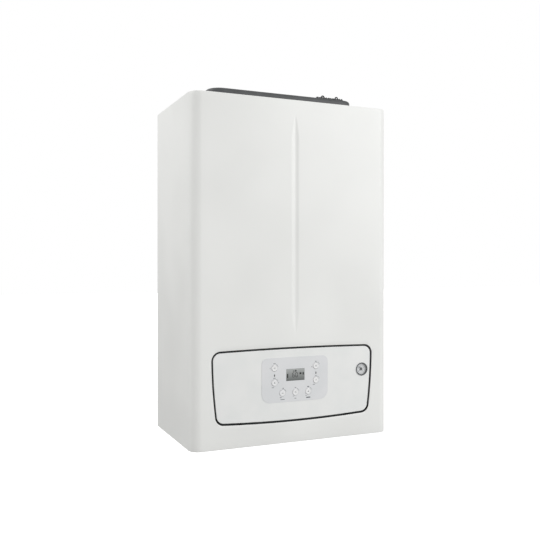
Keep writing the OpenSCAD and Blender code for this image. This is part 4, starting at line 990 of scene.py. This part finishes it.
def rounded_slab(name, low, high, plan_r, edge_r, material):
    """A slab with rounded plan corners and a rounded upper edge (mm).

    plan_r holds the radii of the corners: back right, front right, front left, back left.
    """
    rings = [(low[2], 0.0), (high[2] - edge_r, 0.0)]
    rings += [(high[2] - edge_r + edge_r * math.sin(a), edge_r * (1 - math.cos(a)))
              for a in spread(0, math.pi / 2, 6)[1:]]
    bm = bmesh.new()
    loops = []
    for z, inset in rings:
        radii = [max(radius - inset, 0.5) for radius in plan_r]
        loop = rounded_loop((low[0] + inset, low[1] + inset), (high[0] - inset, high[1] - inset),
                            radii)
        loops.append([bm.verts.new((x * MM, y * MM, z * MM)) for x, y in loop])
    for below, above in zip(loops, loops[1:]):
        for i in range(len(below)):
            j = (i + 1) % len(below)
            bm.faces.new((below[i], below[j], above[j], above[i]))
    bm.faces.new(loops[0])
    bm.faces.new(loops[-1])
    bmesh.ops.recalc_face_normals(bm, faces=bm.faces)
    mesh = mesh_of(name, bm)
    smooth(mesh, 40)
    return link_object(name, mesh, material)


def cut_by(piece, cutters):
    """Cuts each cutter out of a piece and takes the cutters away."""
    for i, cutter in enumerate(cutters):
        step = piece.modifiers.new("cut_%d" % i, "BOOLEAN")
        step.operation = "DIFFERENCE"
        step.solver = "EXACT"
        step.object = cutter
    applied(piece)
    for cutter in cutters:
        bpy.data.objects.remove(cutter)
    smooth(piece.data, 40)
    return piece


# The hood (mm): corner radii from back right round, with larger ones at the front; wall; hole
# round the flue's collar; lower left and upper right corner of the intake slot; screw heads
HOOD_R = [14, 24, 30, 14]
HOOD_WALL = 2.5
FLUE_HOLE_R = 53.2
HOOD_SLOT = ((-146, -149), (-105, -101))
HEAD_R = 3.6


def make_hood():
    """Moulded hood: a hollow rounded shell with ribs and a step along its front, and a grille."""
    low, high = box_mm("top_hood")
    shell = rounded_slab("shell", low, high, HOOD_R, 6, HOOD)
    inner = rounded_slab("inner", (low[0] + HOOD_WALL, low[1] + HOOD_WALL, low[2] - 1),
                         [v - HOOD_WALL for v in high], [r - HOOD_WALL for r in HOOD_R],
                         3.5, HOOD)
    flue_x, flue_y = centre_mm("flue_adapter")[:2]
    flue = lathe("flue_cut", [(0, low[2] - 5), (FLUE_HOLE_R, low[2] - 5),
                              (FLUE_HOLE_R, high[2] + 5), (0, high[2] + 5)],
                 (flue_x, flue_y, 0), "Z", HOOD, 96)
    (slot_left, slot_front), (slot_right, slot_back) = HOOD_SLOT
    slot = soft_box("slot_cut", (slot_left, slot_front, high[2] - 8),
                    (slot_right, slot_back, high[2] + 5), 2, HOOD)
    cut_by(shell, [inner, flue, slot])
    first = low[0] + 27.5
    rib = soft_box("rib", (first, low[1], low[2] + 3), (first + 1.4, low[1] + 3, low[2] + 15),
                   0.3, HOOD, 2)
    ribs = repeated("front_ribs", rib, HOOD, 12, (23.5, 0, 0))
    step = soft_box("front_step", (low[0] + HOOD_R[2] - 2, low[1], low[2] + 11.5),
                    (high[0] - HOOD_R[1] + 2, low[1] + 2, low[2] + 13.2), 0.4, HOOD, 2)
    settle(join("hood_shell", [shell, step, ribs]), "case", "top_hood", slot="dark_plastic")
    bar = soft_box("grille_bar", (slot_left + 3, slot_front + 2, high[2] - 3),
                   (slot_left + 5, slot_back - 2, high[2] - 0.6), 0.4, BLACK, 2)
    grille = repeated("intake_grille", bar, BLACK, 7, (5.6, 0, 0))
    settle(grille, "case", slot="dark_plastic")


def make_intake_plate():
    """Ribbed plate that blanks the second air intake, with its plug below."""
    low, high = box_mm("intake_blank")
    lid = rounded_slab("lid", (low[0], low[1], high[2] - 2.4), high, [6] * 4, 0.8, BLACK)
    rib = soft_box("lid_rib", (low[0] + 6, low[1] + 6, high[2] - 0.4),
                   (low[0] + 7.4, high[1] - 6, high[2]), 0.15, BLACK, 1)
    ribs = repeated("lid_ribs", rib, BLACK, 9, (5.6, 0, 0))
    plug = soft_box("lid_plug", (low[0] + 8.6, low[1] + 8.6, low[2]),
                    (high[0] - 4.6, high[1] - 8.6, high[2] - 2.2), 0.5, BLACK)
    settle(join("intake_plate", [lid, ribs, plug]), "case", "intake_blank", slot="dark_plastic")


def make_sampling_caps():
    """Two hooked caps on a strip of small ribs, studs and lugs."""
    low, high = box_mm("sampling_caps")
    top = box_mm("top_hood")[1][2]
    y = high[1] - 6
    caps = []
    for x in (low[0] + 22, high[0] - 6.4):
        profile = [(3, low[2]), (3, top), (4.6, top), (4.6, top + 4.4), (4.1, top + 5),
                   (3.0, top + 5.4), (2.6, top + 6.2), (0, top + 6.3)]
        caps.append(lathe("cap", profile, (x, y, 0), "Z", BLACK, 40))
        hook = [(x - 1.6, y, top + 4)]
        hook += [(x + 0.6 + 2.9 * math.cos(a), y, top + 8.0 + 2.4 * math.sin(a))
                 for a in spread(math.radians(165), math.radians(-50), 14)]
        caps.append(rod("hook", hook, 1.4, BLACK))
    left, front = low[:2]
    under = top + 1.4
    caps.append(soft_box("strip", (left, front, top), (high[0] - 0.4, high[1], top + 1.8),
                         0.5, BLACK))
    rib = soft_box("rib", (left + 1, front + 0.6, under), (left + 2.4, front + 9, top + 3.4),
                   0.3, BLACK, 2)
    caps.append(repeated("strip_ribs", rib, BLACK, 12, (5.3, 0, 0)))
    stud = lathe("stud", [(0, under), (1.5, under), (1.5, top + 4.6), (1.1, top + 5.2),
                          (0, top + 5.3)], (left + 4.3, front + 11.5, 0), "Z", CAST_IRON, 20)
    caps.append(repeated("strip_studs", stud, CAST_IRON, 6, (10.6, 0, 0)))
    lug = soft_box("lug", (left + 3, front + 14, under), (left + 8, front + 17, top + 4.8),
                   0.8, HOOD, 2)
    caps.append(repeated("strip_lugs", lug, HOOD, 3, (25, 0, 0)))
    settle(join("sampling_hooks", caps), "case", "sampling_caps", slot="dark_plastic")


def make_hood_screws():
    """Four pan heads with a cross recess, each on its shank."""
    low, high = box_mm("hood_screws")
    top = box_mm("top_hood")[1][2]
    heads = []
    for x in (low[0] + HEAD_R, high[0] - HEAD_R):
        for y in (low[1] + HEAD_R, high[1] - HEAD_R):
            profile = [(1.8, low[2]), (1.8, top), (HEAD_R, top), (HEAD_R, top + 1.8),
                       (3.0, top + 2.9), (0, top + 3.2)]
            head = lathe("head", profile, (x, y, 0), "Z", CAST_IRON, 32)
            recess = [soft_box("recess", (x - across, y - along, top + 2.0),
                               (x + across, y + along, top + 5), 0.05, BLACK, 1)
                      for across, along in ((2.6, 0.4), (0.4, 2.6))]
            heads.append(cut_by(head, recess))
    settle(join("hood_screw_heads", heads), "case", "hood_screws", slot="dark_screw")


def make_panel_seal():
    seal = softened("panel_seal", RUBBER, 0.35, "panel_lip")
    settle(seal, "control_panel", "panel_seal", slot="rubber")


def make_clips():
    clips = softened("cover_clips", BLACK, 0.5, "cover_clip_pair")
    settle(clips, "front_cover", "cover_clips", slot="dark_plastic")


# ---------------------------------------------------------------- inner parts

# Every other CAD node: its finish and the radius (mm) that its forming leaves on the edges
INNER = {
    "rear_frame": (ZINC, 0.4), "wall_bracket": (ZINC, 0.4), "top_plate": (ZINC, 0.4),
    # base_plate: its dark coat is painted shade for the gap below the control panel
    "base_plate": (DARK_SHEET_AS_GAP_SHADE, 0.3), "flue_adapter": (CAST_ALU, 0.4), "flue_seals": (RUBBER, 0.2),
    "exchanger_shell": (STEEL, 0.8), "exchanger_coil": (STEEL, 0), "burner_door": (CAST_ALU, 1.2),
    "door_insulation": (FIBRE, 1.0), "door_nuts": (STEEL, 0.3), "burner_tube": (STEEL, 0.2),
    "electrodes": (PORCELAIN, 0.2), "fan_housing": (CAST_ALU, 1.0), "fan_impeller": (BLACK, 0.2),
    "fan_motor": (BLACK, 1.2), "air_gas_mixer": (BLACK, 1.0), "gas_valve": (CAST_ALU, 1.4),
    "gas_pipe": (BRASS, 0), "air_silencer": (BLACK, 2.0), "flue_duct": (STEEL, 0.3),
    "expansion_vessel": (VESSEL, 3.0), "pump_body": (CAST_IRON, 1.5), "pump_rotor": (STEEL, 0.2),
    "plate_exchanger": (COPPER, 0.4), "diverter_motor": (BLACK, 1.5), "diverter_stem": (STEEL, 0.3),
    "supply_block": (BRASS, 1.5), "return_block": (BRASS, 1.5), "flow_pipe": (COPPER, 0),
    "return_pipe": (COPPER, 0), "safety_valve": (BRASS, 0.6), "safety_knob": (RED, 0.5),
    "filling_knob": (BLUE, 0.5), "condensate_trap": (NATURAL, 0.8),
    "connection_tails": (BRASS, 0.4), "control_box": (BLACK, 1.0), "control_board": (BOARD, 0.3),
}


def dress_inner_parts():
    body_of = {n: b for b, nodes in frame["record"]["behaviour"]["bodies"].items() for n in nodes}
    for node, (material, edge) in INNER.items():
        piece = softened(node, material, edge)
        settle(piece, body_of[node], node, slot=SLOTS[node])


# ---------------------------------------------------------------- the whole object

set_up_camera()
set_up_studio()
make_front_cover()
make_side_panels()
make_clips()
make_fascia()
make_panel_seal()
make_membrane()
make_print()
make_display()
make_buttons()
make_gauge()
make_hood()
make_intake_plate()
make_sampling_caps()
make_hood_screws()
dress_inner_parts()
